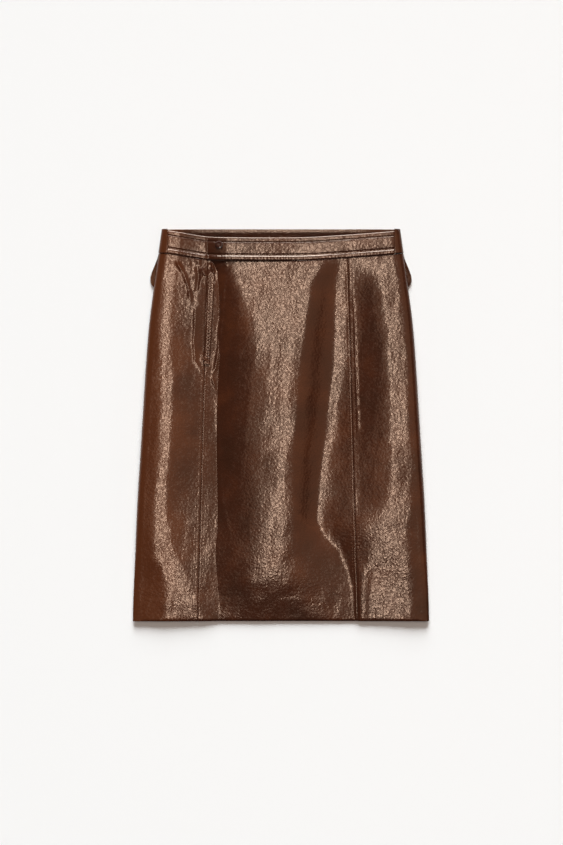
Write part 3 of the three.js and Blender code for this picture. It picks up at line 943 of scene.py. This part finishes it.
@dataclass(frozen=True)
class PlainFinish:
    """A matt or polished finish of one colour: faintly mottled, with its own roughness and relief.

    Args:
        name: Name of the material.
        colour: Its colour.
        roughness: Its roughness.
        light: The mottle's colour, or none for a slightly lighter one.
        metallic: 1 for a metal.
        coat: Weight of a clear coat.
        sheen: Weight of a nap's sheen.
        mottle_mm: Size of the mottle.
        detail: How much finer the mottle breaks up.
        relief_mm: Height of the relief that follows the mottle.
        strength: Strength of that relief.
    """

    name: str
    colour: str
    roughness: float
    light: str | None = None
    metallic: float = 0.0
    coat: float = 0.0
    sheen: float = 0.0
    mottle_mm: float = 2.0
    detail: float = 3.0
    relief_mm: float = 0.1
    strength: float = 0.1

    def build(self) -> Material:
        """Makes the material.

        Returns:
            The new material.
        """
        material, tree, shader, place = new_material(self.name)
        mottle = texture(tree, "Noise", place, self.mottle_mm, Detail=self.detail).outputs["Fac"]
        lighter = [min(1.0, c * 1.25) for c in srgb(self.colour)[:3]] + [1.0]
        shade = add_node(tree, "ShaderNodeMix", {"data_type": "RGBA"}, {
            "Factor": mottle, 6: srgb(self.colour), 7: srgb(self.light) if self.light else lighter})
        relief = bump(tree, mottle, self.relief_mm, self.strength)
        feed(tree, shader, {
            "Base Color": shade.outputs[2], "Normal": relief.outputs["Normal"], "Roughness": self.roughness,
            "Metallic": self.metallic, "Coat Weight": self.coat, "Sheen Weight": self.sheen})
        return material


# ---- Mesh helpers ----


def grid_piece(name: str, columns: int, rows: int, place: Place) -> Object:
    """Adds a flat grid and moves each of its vertices to its place.

    Args:
        name: The piece's name.
        columns: Faces across.
        rows: Faces down.
        place: Gives the points in millimetres, from the shares across and down.

    Returns:
        The new piece, at the origin.
    """
    bpy.ops.object.select_all(action="DESELECT")
    bpy.ops.mesh.primitive_grid_add(x_subdivisions=columns, y_subdivisions=rows, size=1)
    piece = bpy.context.object
    piece.name = piece.data.name = name
    flat = np.empty(len(piece.data.vertices) * 3)
    piece.data.vertices.foreach_get("co", flat)
    flat = flat.reshape(-1, 3)
    points = place(flat[:, 0] + 0.5, 0.5 - flat[:, 1]) * MM
    piece.data.vertices.foreach_set("co", points.ravel())
    piece.data.update()
    return piece


def thicken(piece: Object, thickness: float, rounding: float) -> None:
    """Gives a sheet its thickness inwards, and rounds its cut edges.

    Args:
        piece: The sheet.
        thickness: Wall thickness in millimetres.
        rounding: Width of the rounded edge in millimetres.
    """
    bpy.context.view_layer.objects.active = piece
    wall = piece.modifiers.new("wall", "SOLIDIFY")
    wall.thickness = thickness * MM
    wall.offset = -1
    wall.material_offset = 1
    wall.material_offset_rim = 0
    bpy.ops.object.modifier_apply(modifier=wall.name)
    edge = piece.modifiers.new("edge", "BEVEL")
    edge.width = rounding * MM
    edge.segments = 2
    edge.limit_method = "ANGLE"
    edge.angle_limit = math.radians(60)
    bpy.ops.object.modifier_apply(modifier=edge.name)
    piece.data.shade_smooth()


class Wardrobe:
    """The materials that the pieces share."""

    def __init__(self) -> None:
        """Makes each material once."""
        self.leather = WaxedLeather().build()
        # Painted shade: a darker copy of the waxed leather for the side tabs, as if they lay in shadow under
        # the folds
        self.tab_leather_painted_shade = WaxedLeather(
            name="dark_waxed_leather", deep="#2c160c", mid="#351a0f", warm="#43220f").build()
        self.suede = PlainFinish(
            "leather_flesh_side", "#5b3a27", 0.95, light="#6e4a35", sheen=0.3, mottle_mm=0.8, detail=4.0,
            relief_mm=0.2, strength=0.4).build()
        self.thread = PlainFinish("bonded_polyester_thread", "#6a4630", 0.55, mottle_mm=0.6).build()
        self.button = PlainFinish(
            "polished_dyed_horn", "#30150c", 0.18, coat=0.25, mottle_mm=5.0, strength=0.03).build()
        self.tape = PlainFinish("woven_zip_tape", "#3b2318", 0.9, mottle_mm=0.7, strength=0.3).build()
        self.brass = PlainFinish("aged_brass", "#8a7248", 0.35, metallic=1.0, mottle_mm=3.0).build()


def wear(piece: Object, *materials: Material) -> None:
    """Gives a piece these materials alone.

    Args:
        piece: The piece.
        *materials: The materials, outside first.
    """
    piece.data.materials.clear()
    for material in materials:
        piece.data.materials.append(material)
    LOG.info("%s: %d faces", piece.name, len(piece.data.polygons))


def add_object(name: str, data: bpy.types.ID) -> Object:
    """Adds an object with this data to the scene.

    Args:
        name: The object's name.
        data: Its mesh, light or camera.

    Returns:
        The new object.
    """
    added = bpy.data.objects.new(name, data)
    bpy.context.scene.collection.objects.link(added)
    return added


def dress(piece: Object, *materials: Material) -> None:
    """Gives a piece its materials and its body.

    Args:
        piece: The piece.
        *materials: The materials, outside first.
    """
    wear(piece, *materials)
    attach(piece, "root")


def finish_leather(piece: Object, node: str, wall: tuple[float, float],
                   materials: Sequence[Material]) -> None:
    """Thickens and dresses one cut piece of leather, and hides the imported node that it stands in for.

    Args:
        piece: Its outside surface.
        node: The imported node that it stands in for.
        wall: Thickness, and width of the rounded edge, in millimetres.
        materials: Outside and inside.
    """
    thicken(piece, *wall)
    dress(piece, *materials)
    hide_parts(node)


# ---- Sub-assemblies ----


@dataclass
class Body:
    """The body panels: three across the front and one at the back."""

    form: LaidForm
    wardrobe: Wardrobe
    band_height: float = 36.0
    back_top: float = 37.3
    centre_grid: tuple[int, int] = (140, 300)
    side_grid: tuple[int, int] = (84, 300)
    back_grid: tuple[int, int] = (110, 130)
    rounding: float = 0.25
    calm: float = 12
    buckle: Noise = Noise(0.25, 60, 31)
    flat_share: float = 0.78
    upper_share: float = 0.11
    crease_half: float = 1.0
    crease_columns: tuple[float, float] = (15 / 140, 19 / 140)

    def top(self, x: Array) -> Array:
        """Distance down of a front panel's top edge."""
        return self.form.waist_dip(x) + self.band_height + SEAM_GAP

    def centre(self) -> None:
        """The middle front panel."""
        form = self.form

        def place(u: Array, v: Array) -> Array:
            """Points of the panel.

            Args:
                u: Share of the way across.
                v: Share of the way down.

            Returns:
                The points in millimetres.
            """
            def across(down: Array) -> Array:
                """X at a share across the panel.

                Args:
                    down: Distance down, in millimetres.

                Returns:
                    Millimetres across.
                """
                left = form.seam_x(Side.LEFT, down) + SEAM_GAP / 2
                right = form.seam_x(Side.RIGHT, down) - SEAM_GAP / 2
                foot = smooth_column(FORM, "foot_left", down)
                near, far = foot - self.crease_half, foot + self.crease_half
                before, after = self.crease_columns
                return np.where(u < before, left + (near - left) * u / before, np.where(
                    u > after, far + (right - far) * (u - after) / (1 - after),
                    near + (far - near) * (u - before) / (after - before)))
            top = self.top(across(form.seam_top_down))
            down = top + (LENGTH - top) * v
            return form.front_point(across(down), down)

        piece = grid_piece("front_centre_leather", *self.centre_grid, place)
        self.finish(piece, "front_centre_panel", (0.247, 0.556), 0.129)

    def side(self, side: Side) -> None:
        """A side front panel, over its shoulder and round the fold to the side seam beneath.

        Args:
            side: Which side.
        """
        form = self.form
        flat_share, upper_share = self.flat_share, self.upper_share

        def place(u: Array, v: Array) -> Array:
            """Points of the panel.

            Args:
                u: Share of the way across.
                v: Share of the way down.

            Returns:
                The points in millimetres.
            """
            out = u if side is Side.RIGHT else 1 - u
            flat = np.clip(out / flat_share, 0, 1)
            upper = np.clip((out - flat_share) / upper_share, 0, 1)
            lower = np.clip((out - flat_share - upper_share) / (1 - flat_share - upper_share), 0, 1)

            def across(down: Array) -> Array:
                """X at a share across the flat part.

                Args:
                    down: Distance down, in millimetres.

                Returns:
                    Millimetres across.
                """
                seam = form.seam_x(side, down) + side.value * SEAM_GAP / 2
                shoulder = side.value * (form.half_width(down) - form.shoulder_width)
                return seam + (shoulder - seam) * flat
            rounded_x = form.upper_fold(side, QUARTER * (1 - upper), form.seam_top_down)[..., 0]
            top = np.where(upper > 0, self.top(rounded_x), self.top(across(form.seam_top_down)))
            top = np.where(lower > 0, self.back_top, top)
            down = top + (LENGTH - top) * v
            points = form.front_point(across(down), down)
            over = form.upper_fold(side, QUARTER * (1 - upper), down)
            over[..., 2] += form.relief(over[..., 0], down, True)
            under = form.lower_fold(side, QUARTER * lower, down)
            points = np.where((upper > 0)[..., None], over, points)
            return np.where((lower > 0)[..., None], under, points)

        piece = grid_piece(f"front_side_leather_{side.name.lower()}", *self.side_grid, place)
        wide, area = (0.111, 0.0596) if side is Side.LEFT else (0.121, 0.0655)
        self.finish(piece, f"front_side_panel_{side.name.lower()}", (wide, 0.566), area)

    def back(self) -> None:
        """The back panel, flat on the surface."""
        form = self.form

        def place(u: Array, v: Array) -> Array:
            """Points of the panel.

            Args:
                u: Share of the way across.
                v: Share of the way down.

            Returns:
                The points in millimetres.
            """
            down = self.back_top + (LENGTH - self.back_top) * v
            half = form.half_width(down) - form.under_width - SEAM_GAP
            x = half * (1 - 2 * u)
            calm = ease((half - np.abs(x)) / self.calm) * ease((LENGTH - down) / self.calm)
            calm = calm * ease((down - self.back_top) / self.calm)
            lift = np.maximum(self.buckle.at(x, down), 0)
            for crease in BACK_CREASES:
                lift = lift + crease.relief(x, down)
            return points_at(x, down, np.maximum(lift, 0) * calm)

        piece = grid_piece("back_leather", *self.back_grid, place)
        self.finish(piece, "back_panel", (0.438, 0.566), 0.229)

    def finish(self, piece: Object, node: str, flat: tuple[float, float], area: float) -> None:
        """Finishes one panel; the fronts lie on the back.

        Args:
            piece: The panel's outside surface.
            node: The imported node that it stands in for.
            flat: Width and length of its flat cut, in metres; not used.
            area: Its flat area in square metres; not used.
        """
        finish_leather(piece, node, (LEATHER, self.rounding), (self.wardrobe.leather, self.wardrobe.suede))

    def build(self) -> None:
        """Makes the four panels."""
        self.centre()
        self.side(Side.LEFT)
        self.side(Side.RIGHT)
        self.back()


@dataclass
class Waistband:
    """The waistband: a long front part, a short one under its buttoned end, and the back part."""

    form: LaidForm
    wardrobe: Wardrobe
    height: float = 36.0
    inside: float = 1.2
    end: float = 174.0
    overlap_end: float = -112.6
    lift: float = 1.9
    rise: float = 0.9
    ramp_start: float = -84.0
    ramp_end: float = 24.0
    underlap_end: float = -78.0
    underlap_proud: float = 0.8
    back_height: float = 37.0
    back_thickness: float = 2.4
    wrap_proud: float = 1.4
    curl: float = 2.4
    curl_width: float = 15.0
    rounding: float = 0.5
    pucker_pitch: float = 5.0
    pucker: float = 0.09
    lower_row: float = 31
    upper_row: float = 8
    row_reach: float = 4.0
    drift: Noise = Noise(2.4, 15, 51)
    patch: Noise = Noise(0.5, 21, 55)
    patch_mean: float = 0.6
    upper_pull: Noise = Noise(0.08, 4.8, 52)
    grain: Noise = Noise(0.03, 3.4, 53)
    swell: Noise = Noise(0.05, 9.0, 54)
    cover_gap: float = 3.4
    cover_ramp: float = 2.0

    def overlap_lift(self, x: Array) -> Array:
        """How far the buttoned end is lifted by the piece beneath it."""
        rise = self.rise * np.clip((x - self.overlap_end) / (self.ramp_start - self.overlap_end), 0, 1)
        return (self.lift + rise) * np.clip((self.ramp_end - x) / (self.ramp_end - self.ramp_start), 0, 1)

    def base(self, x: Array, drop: Array) -> Array:
        """Points of the body's surface under the band."""
        return self.form.front_point(x, self.form.waist_dip(x) + drop, body=False)

    def face(self, x: Array, drop: Array, proud: Array) -> Array:
        """Points of the band's face, straight out from the body's surface."""
        return self.base(x, drop) + normals_of(self.base, x, drop) * proud[..., None]

    def front_proud(self, x: Array, drop: Array) -> Array:
        """How far the front band stands out, with the pull of its two rows of stitching.

        Args:
            x: Across, in millimetres.
            drop: Distance below the band's top edge, in millimetres.

        Returns:
            Millimetres out from the body.
        """
        wave = waves(x + self.drift.at(x, drop * 0.2), self.pucker_pitch)
        uneven = self.patch_mean + self.patch.at(x, drop * 0)
        pucker = self.pucker * uneven * wave * bell(drop - self.lower_row, self.row_reach)
        upper = self.upper_pull.at(x, drop * 0.5) * bell(drop - self.upper_row, self.row_reach)
        grain = self.grain.at(x, drop) + self.swell.at(x, drop * 0.6)
        return smooth_column(BAND_FACE, "proud", drop) + pucker + upper + grain

    def lower_face(self, x: Array, drop: Array) -> Array:
        """Points on the face of the part beneath the buttoned end."""
        return self.face(x, drop, self.front_proud(x, drop))

    def upper_face(self, x: Array, drop: Array) -> Array:
        """Points on the face of the long part."""
        return self.face(x, drop, self.front_proud(x, drop) + self.overlap_lift(x))

    def front(self) -> None:
        """The long front part."""
        def place(u: Array, v: Array) -> Array:
            """Points of the face."""
            x = self.overlap_end + (self.end - self.overlap_end) * u
            return self.upper_face(x, self.height * v)
        piece = grid_piece("waistband_front_leather", 240, 60, place)
        self.finish(piece, "waistband_front", self.inside + 1.0, (0.287, 0.036), "front_centre_panel")

    def underlap(self) -> None:
        """The short front part, lower where it is covered."""
        def place(u: Array, v: Array) -> Array:
            """Points of the face.

            Args:
                u: Share of the way across.
                v: Share of the way down.

            Returns:
                The points in millimetres.
            """
            x = -self.end + (self.underlap_end + self.end) * u
            drop = self.height * v
            covered = ease((x - self.overlap_end + self.cover_gap) / self.cover_ramp)
            proud = self.front_proud(x, drop)
            return self.face(x, drop, proud + (np.minimum(proud, self.underlap_proud) - proud) * covered)
        piece = grid_piece("waistband_underlap_leather", 84, 60, place)
        self.finish(piece, "waistband_underlap", self.inside + self.underlap_proud, (0.096, 0.036),
                    "front_side_panel_left")

    def back(self) -> None:
        """The back part: flat on the surface, round both folds, and on to meet the front part."""
        form = self.form
        front_end = self.end + SEAM_GAP

        def spine(u: Array, down: Array) -> Array:
            """Points before the band stands proud; u runs from -3 to 3, right to left.

            Args:
                u: Place along the band.
                down: Distance down, in millimetres.

            Returns:
                The points in millimetres.
            """
            out = np.abs(u)
            side = np.where(u < 0, 1.0, -1.0)
            turn_end = np.arccos(1 - (form.half_width(down) - front_end) / form.shoulder_width)
            flat = points_at(-u * (form.half_width(down) - form.under_width), down, 0.0)
            under = form.lower_fold(Side.RIGHT, QUARTER * np.clip(2 - out, 0, 1), down)
            over = form.upper_fold(Side.RIGHT, turn_end * np.clip(out - 2, 0, None), down)
            around = np.where((out > 2)[..., None], over, under)
            around[..., 0] *= side
            return np.where((out > 1)[..., None], around, flat)

        def place(u: Array, v: Array) -> Array:
            """Points of the outside face.

            Args:
                u: Share of the way across.
                v: Share of the way down.

            Returns:
                The points in millimetres.
            """
            around = (u * 2 - 1) * 3
            sharp = np.sign(around) * np.interp(np.abs(around), [0, 1.5, 3], [0, 1, 3])
            down = self.back_height * v
            proud = self.wrap_proud * ease((np.abs(sharp) - 1) / 2)
            points = spine(sharp, down) + normals_of(spine, sharp, down, 0.002) * proud[..., None]
            curl = self.curl * ease((self.curl_width - down) / self.curl_width)
            points[..., 2] += curl * ease((1 - np.abs(sharp)) * 4)
            return points

        piece = grid_piece("waistband_back_leather", 200, 36, place)
        self.finish(piece, "waistband_back", self.back_thickness, (0.407, 0.037), "back_panel")

    def finish(self, piece: Object, node: str, thickness: float, flat: tuple[float, float],
               rests: str) -> None:
        """Finishes one part of the band."""
        leather = self.wardrobe.leather
        finish_leather(piece, node, (thickness, self.rounding), (leather, leather))

    def build(self) -> None:
        """Makes the three parts."""
        self.front()
        self.underlap()
        self.back()


@dataclass
class Fly:
    """The lapped margin over the zip."""

    form: LaidForm
    wardrobe: Wardrobe
    top: float = 51.0
    bottom: float = 208.0
    above: float = 0.4
    thickness: float = 1.1
    tilt_top: float = 0.83
    tilt_foot: float = 0.46
    pucker_depth: float = 0.2
    pucker_line: float = 0.68
    pucker_reach: float = 0.24
    pitch: float = 5.2
    slant: float = 3.0
    edge_power: int = 14
    least: float = 0.2
    drift: Noise = Noise(2.2, 11, 61)
    patch: Noise = Noise(0.5, 9, 62)
    patch_mean: float = 0.7
    wall: tuple[float, float] = (0.7, 0.25)

    def lap(self) -> None:
        """The margin, puckered by its stitching along the inner half."""
        form = self.form

        def base(u: Array, down: Array) -> Array:
            """Points of the front under the margin.

            Args:
                u: Share of the way from the margin's outer edge to its inner one.
                down: Distance down, in millimetres.

            Returns:
                The points in millimetres.
            """
            outer = straight_column(LAP_EDGES, "outer", down)
            inner = straight_column(LAP_EDGES, "inner", down)
            return form.front_point(outer * (1 - u) + inner * u, down)

        def place(u: Array, v: Array) -> Array:
            """Points of the margin's face.

            Args:
                u: Share of the way across.
                v: Share of the way down.

            Returns:
                The points in millimetres.
            """
            down = self.top + (self.bottom - self.top) * v
            slant = down + self.slant * u + self.drift.at(down, u * 2)
            wave = -((0.5 + 0.5 * waves(slant, self.pitch)) ** 3)
            uneven = self.patch_mean + self.patch.at(down, u * 0)
            round_edge = 1 - (2 * u - 1) ** self.edge_power
            tilt = self.tilt_top + (self.tilt_foot - self.tilt_top) * v
            lift = self.above + self.thickness * round_edge + tilt * u
            pulled = bell(u - self.pucker_line, self.pucker_reach) * ease(v * 30)
            pucker = self.pucker_depth * wave * uneven * pulled
            sunk = form.fly_relief.sag(base(u, down)[..., 0], down)
            height = np.maximum(lift + pucker * round_edge, self.above + self.least) - sunk
            return base(u, down) + normals_of(base, u, down, 0.01) * height[..., None]

        piece = grid_piece("fly_lap_leather", 22, 240, place)
        finish_leather(piece, "fly_lap", self.wall, (self.wardrobe.leather, self.wardrobe.suede))

    def zip(self) -> None:
        """Gives the hidden tape and slider their finishes."""
        wear(bpy.data.objects["zip_tape"], self.wardrobe.tape)
        wear(bpy.data.objects["zip_slider"], self.wardrobe.brass)

    def build(self) -> None:
        """Makes the margin and dresses the zip."""
        self.lap()
        self.zip()


@dataclass
class SideTabs:
    """The rounded tabs that show past the folds under the waistband."""

    form: LaidForm
    wardrobe: Wardrobe
    hidden: float = 2.8
    thickness: float = 1.2
    rise: float = 1.5
    clear: float = 0.15
    rounding: float = 0.4

    def tab(self, side: Side) -> None:
        """One tab.

        Args:
            side: Which side.
        """
        first, last = TAB_REACH[0].down, TAB_REACH[-1].down

        def place(u: Array, v: Array) -> Array:
            """Points of the tab's upper face.

            Args:
                u: Share of the way across.
                v: Share of the way down.

            Returns:
                The points in millimetres.
            """
            out = u if side is Side.RIGHT else 1 - u
            down = first + (last - first) * v
            reach = smooth_column(TAB_REACH, "reach", down)
            x = self.form.half_width(down) - self.hidden + (self.hidden + reach) * out
            z = self.thickness + self.rise * out + self.clear
            return points_at(side.value * x, down, z)

        piece = grid_piece(f"side_tab_leather_{side.name.lower()}", 12, 60, place)
        finish_leather(piece, f"side_tab_{side.name.lower()}", (self.thickness, self.rounding),
                       (self.wardrobe.tab_leather_painted_shade, self.wardrobe.suede))

    def build(self) -> None:
        """Makes both tabs."""
        for side in Side:
            self.tab(side)


@dataclass
class Stitching:
    """The visible rows of topstitching, each joined from copies of one stitch."""

    form: LaidForm
    wardrobe: Wardrobe
    waistband: Waistband
    fly: Fly
    length: float = 2.9
    pitch: float = 3.6
    thread: float = 0.55
    sink: float = 0.02
    seam_offset: float = 5.0
    band_drops: tuple[float, float] = (7.4, 27.4)
    bartack_x: tuple[float, float] = (-120.6, -112.6)
    bartack_down: float = 216.0
    bartack_zigzag: float = 0.9
    bartack_lift: float = 0.25
    bartack_scale: float = 0.42
    bartack_count: int = 26
    droop: float = 0.28
    seam_start: float = 37.5
    margin: float = 1.5
    fly_gap: float = 10
    samples: int = 400
    few: int = 120
    step: float = 0.4

    def one_stitch(self) -> tuple[Array, list[tuple[int, ...]]]:
        """Models one stitch, its ends drawn down into the leather.

        Returns:
            Its vertices in millimetres, long way along X, and its faces.
        """
        bpy.ops.object.select_all(action="DESELECT")
        bpy.ops.mesh.primitive_uv_sphere_add(segments=6, ring_count=5, radius=1, rotation=(0, QUARTER, 0))
        stitch = bpy.context.object
        bpy.ops.object.transform_apply(location=True, rotation=True, scale=True)
        ball = np.array([vertex.co[:] for vertex in stitch.data.vertices])
        faces = [tuple(face.vertices) for face in stitch.data.polygons]
        mesh = stitch.data
        bpy.data.objects.remove(stitch)
        bpy.data.meshes.remove(mesh)
        along = ball[:, 0] * self.length / 2
        return np.stack((along, ball[:, 1] * self.thread / 2,
                         ball[:, 2] * self.thread / 2 - self.droop * ball[:, 0] ** 2), axis=-1), faces

    def row(self, name: str, points: Array, normals: Array, scale: float = 1.0) -> None:
        """Lays stitches end to end along a line of points.

        Args:
            name: Name of the piece.
            points: Points of the line on the leather, in millimetres.
            normals: The leather's outward direction at each point.
            scale: Size of the stitches against the usual ones.
        """
        shape, faces = self.one_stitch()
        run = np.concatenate(([0.0], np.cumsum(np.linalg.norm(np.diff(points, axis=0), axis=1))))
        pitch = self.pitch * scale
        count = max(1, int(run[-1] / pitch))
        middles = (np.arange(count) + 0.5) * run[-1] / count

        def read(table: Array, where: Array) -> Array:
            """Reads points or normals at distances along the line."""
            return np.stack([np.interp(where, run, table[:, axis]) for axis in range(3)], axis=-1)
        centre, up = read(points, middles), read(normals, middles)
        ahead = read(points, middles + 0.5) - read(points, middles - 0.5)
        ahead /= np.linalg.norm(ahead, axis=1, keepdims=True)
        up /= np.linalg.norm(up, axis=1, keepdims=True)
        across = np.cross(up, ahead)
        body = shape * scale
        long, wide, tall = body[None, :, :1], body[None, :, 1:2], body[None, :, 2:] + self.sink
        vertices = centre[:, None] + long * ahead[:, None] + wide * across[:, None] + tall * up[:, None]
        vertices = vertices.reshape(-1, 3) * MM
        every = [tuple(i + k * len(shape) for i in face) for k in range(count) for face in faces]
        mesh = bpy.data.meshes.new(name)
        mesh.from_pydata(vertices.tolist(), [], every)
        mesh.shade_smooth()
        dress(add_object(name, mesh), self.wardrobe.thread)

    def body_row(self, name: str, x: Array, down: Array) -> None:
        """A row on the body's front."""
        place = self.form.front_point
        self.row(name, place(x, down), normals_of(place, x, down, self.step))

    def seams(self) -> None:
        """Two rows beside each long front seam."""
        for side in Side:
            top = self.form.waist_dip(self.form.seam_x(side, self.form.seam_top_down))
            first = float(top) + self.seam_start
            down = np.linspace(first, LENGTH - self.margin, self.samples)
            for inner in (-1, 1):
                beside_fly = side is Side.LEFT and inner > 0
                use = down[down > self.fly.bottom + self.fly_gap] if beside_fly else down
                x = self.form.seam_x(side, use) + inner * self.seam_offset
                label = "outer" if inner == side.value else "inner"
                self.body_row(f"seam_stitches_{side.name.lower()}_{label}", x, use)

    def band(self) -> None:
        """Two rows along the front waistband."""
        band = self.waistband
        for label, drop in zip(("upper", "lower"), self.band_drops):
            for name, place, ends in (
                ("band", band.upper_face, (band.overlap_end + self.margin, band.end - 1, self.samples)),
                ("underlap", band.lower_face, (1 - band.end, band.overlap_end - self.margin, self.few)),
            ):
                x = np.linspace(*ends)
                across = np.full(x.shape, drop)
                normals = normals_of(place, x, across, self.step)
                self.row(f"{name}_stitches_{label}", place(x, across), normals)

    def bartack(self) -> None:
        """The dense bar that locks the foot of the fly."""
        x = np.linspace(*self.bartack_x, self.bartack_count)
        down = self.bartack_down + self.bartack_zigzag * (np.arange(self.bartack_count) % 2)
        place = self.form.front_point
        points = place(x, down)
        points[:, 2] += self.bartack_lift
        self.row("fly_bartack", points, normals_of(place, x, down, self.step), self.bartack_scale)

    def build(self) -> None:
        """Makes every row."""
        self.seams()
        self.band()
        self.bartack()


@dataclass
class Studio:
    """The pale surface, the camera straight above, and the lights."""

    height_mm: float = 1303.8
    lens: float = 100.0
    sensor: float = 36.0
    centre: tuple[float, float] = (0.0008, 0.0042)
    floor_height: float = -0.0006
    sun_strength: float = 6.1
    sun_colour: str = "#f8fdff"
    sun_softness: float = 34
    sun_tilt: float = -66

    def surface(self) -> None:
        """The pale matt surface that the skirt lies on."""
        bpy.ops.object.select_all(action="DESELECT")
        bpy.ops.mesh.primitive_grid_add(
            x_subdivisions=4, y_subdivisions=4, size=12, location=(0, 0, self.floor_height))
        floor = bpy.context.object
        floor.name = "studio_surface"
        material, tree, shader, place = new_material("white_studio_board")
        tooth = add_node(tree, "ShaderNodeTexNoise", inputs={"Vector": place, "Scale": 900.0})
        feed(tree, shader, {
            "Normal": bump(tree, tooth.outputs["Fac"], 0.05, 0.02).outputs["Normal"],
            "Base Color": (0.9, 0.9, 0.9, 1), "Roughness": 1.0, "Specular IOR Level": 0.0})
        floor.data.materials.append(material)

    def camera(self) -> None:
        """The camera, looking straight down with the waist at the top."""
        data = bpy.data.cameras.new("camera")
        data.sensor_width = self.sensor
        data.lens = self.lens
        distance = self.height_mm * MM * self.lens / self.sensor
        data.clip_end = 50
        camera = add_object("camera", data)
        camera.location = (*self.centre, distance)
        bpy.context.scene.camera = camera

    def area(self, name: str, at: tuple[float, float, float], size: tuple[float, float], watts: float,
             colour: str = "#ffffff", turned: bool = True) -> None:
        """Adds a rectangular soft light, turned to face the skirt's middle or left facing down.

        Args:
            name: Name of the light.
            at: Its place, in metres.
            size: Its width and length, in metres.
            watts: Its power, in watts.
            colour: Its colour.
            turned: False to leave it facing down.
        """
        data = bpy.data.lights.new(name, "AREA")
        data.shape = "RECTANGLE"
        data.size, data.size_y = size
        data.energy = watts
        data.color = srgb(colour)[:3]
        light = add_object(name, data)
        light.location = at
        back = Vector(at).normalized() if turned else Vector((0, 0, 1))
        across = Vector((0, 1, 0)).cross(back).normalized()
        light.rotation_euler = Matrix((across, back.cross(across), back)).transposed().to_euler()

    def lights(self) -> None:
        """A low key from the waist side, and a long strip overhead that draws the gloss."""
        sun = bpy.data.lights.new("key_from_the_waist", "SUN")
        sun.energy = self.sun_strength
        sun.color = srgb(self.sun_colour)[:3]
        sun.angle = math.radians(self.sun_softness)
        add_object("key_from_the_waist", sun).rotation_euler = (math.radians(self.sun_tilt), 0, 0)
        self.area("overhead_strip", (0.0, 0.42, 4.6), (0.14, 3.04), 32.5, "#fff3e8", turned=False)
        self.area("strip_glow", (0.06, 0.42, 4.65), (0.9, 3.04), 6.2, "#ffe0c8", turned=False)
        self.area("left_fill", (-0.68, 0.42, 4.6), (0.55, 2.35), 3.1, "#ffcfb0", turned=False)
        self.area("right_fill", (2.0, 0.1, 4.4), (3.0, 3.0), 18, "#ffcfb0")
        self.room()

    def room(self) -> None:
        """A room that is dark overhead and pale towards its walls."""
        world = bpy.data.worlds.new("pale_walled_room")
        world.use_nodes = True
        tree = world.node_tree
        way = add_node(tree, "ShaderNodeTexCoord").outputs["Generated"]
        height = add_node(tree, "ShaderNodeSeparateXYZ", inputs={"Vector": way})
        wall = add_node(tree, "ShaderNodeMapRange", {"interpolation_type": "SMOOTHSTEP"}, {
            "Value": height.outputs["Z"], "From Min": 0.0, "From Max": 0.45, "To Min": 0.5, "To Max": 0.05})
        tree.links.new(wall.outputs["Result"], tree.nodes["Background"].inputs["Strength"])
        tree.nodes["Background"].inputs["Color"].default_value = (1, 1, 1, 1)
        bpy.context.scene.world = world

    def build(self) -> None:
        """Sets up the studio."""
        self.surface()
        self.camera()
        self.lights()
        bpy.context.scene.view_settings.view_transform = "Standard"


def main() -> None:
    """Builds the studio and the skirt, one sub-assembly at a time."""
    Studio().build()
    form = LaidForm()
    wardrobe = Wardrobe()
    waistband, fly = Waistband(form, wardrobe), Fly(form, wardrobe)
    stitching = Stitching(form, wardrobe, waistband, fly)
    for part in (Body(form, wardrobe), waistband, fly, SideTabs(form, wardrobe), stitching):
        part.build()
        LOG.info("built %s", type(part).__name__)
    wear(bpy.data.objects["waist_button"], wardrobe.button)


if __name__ == "__main__":
    main()
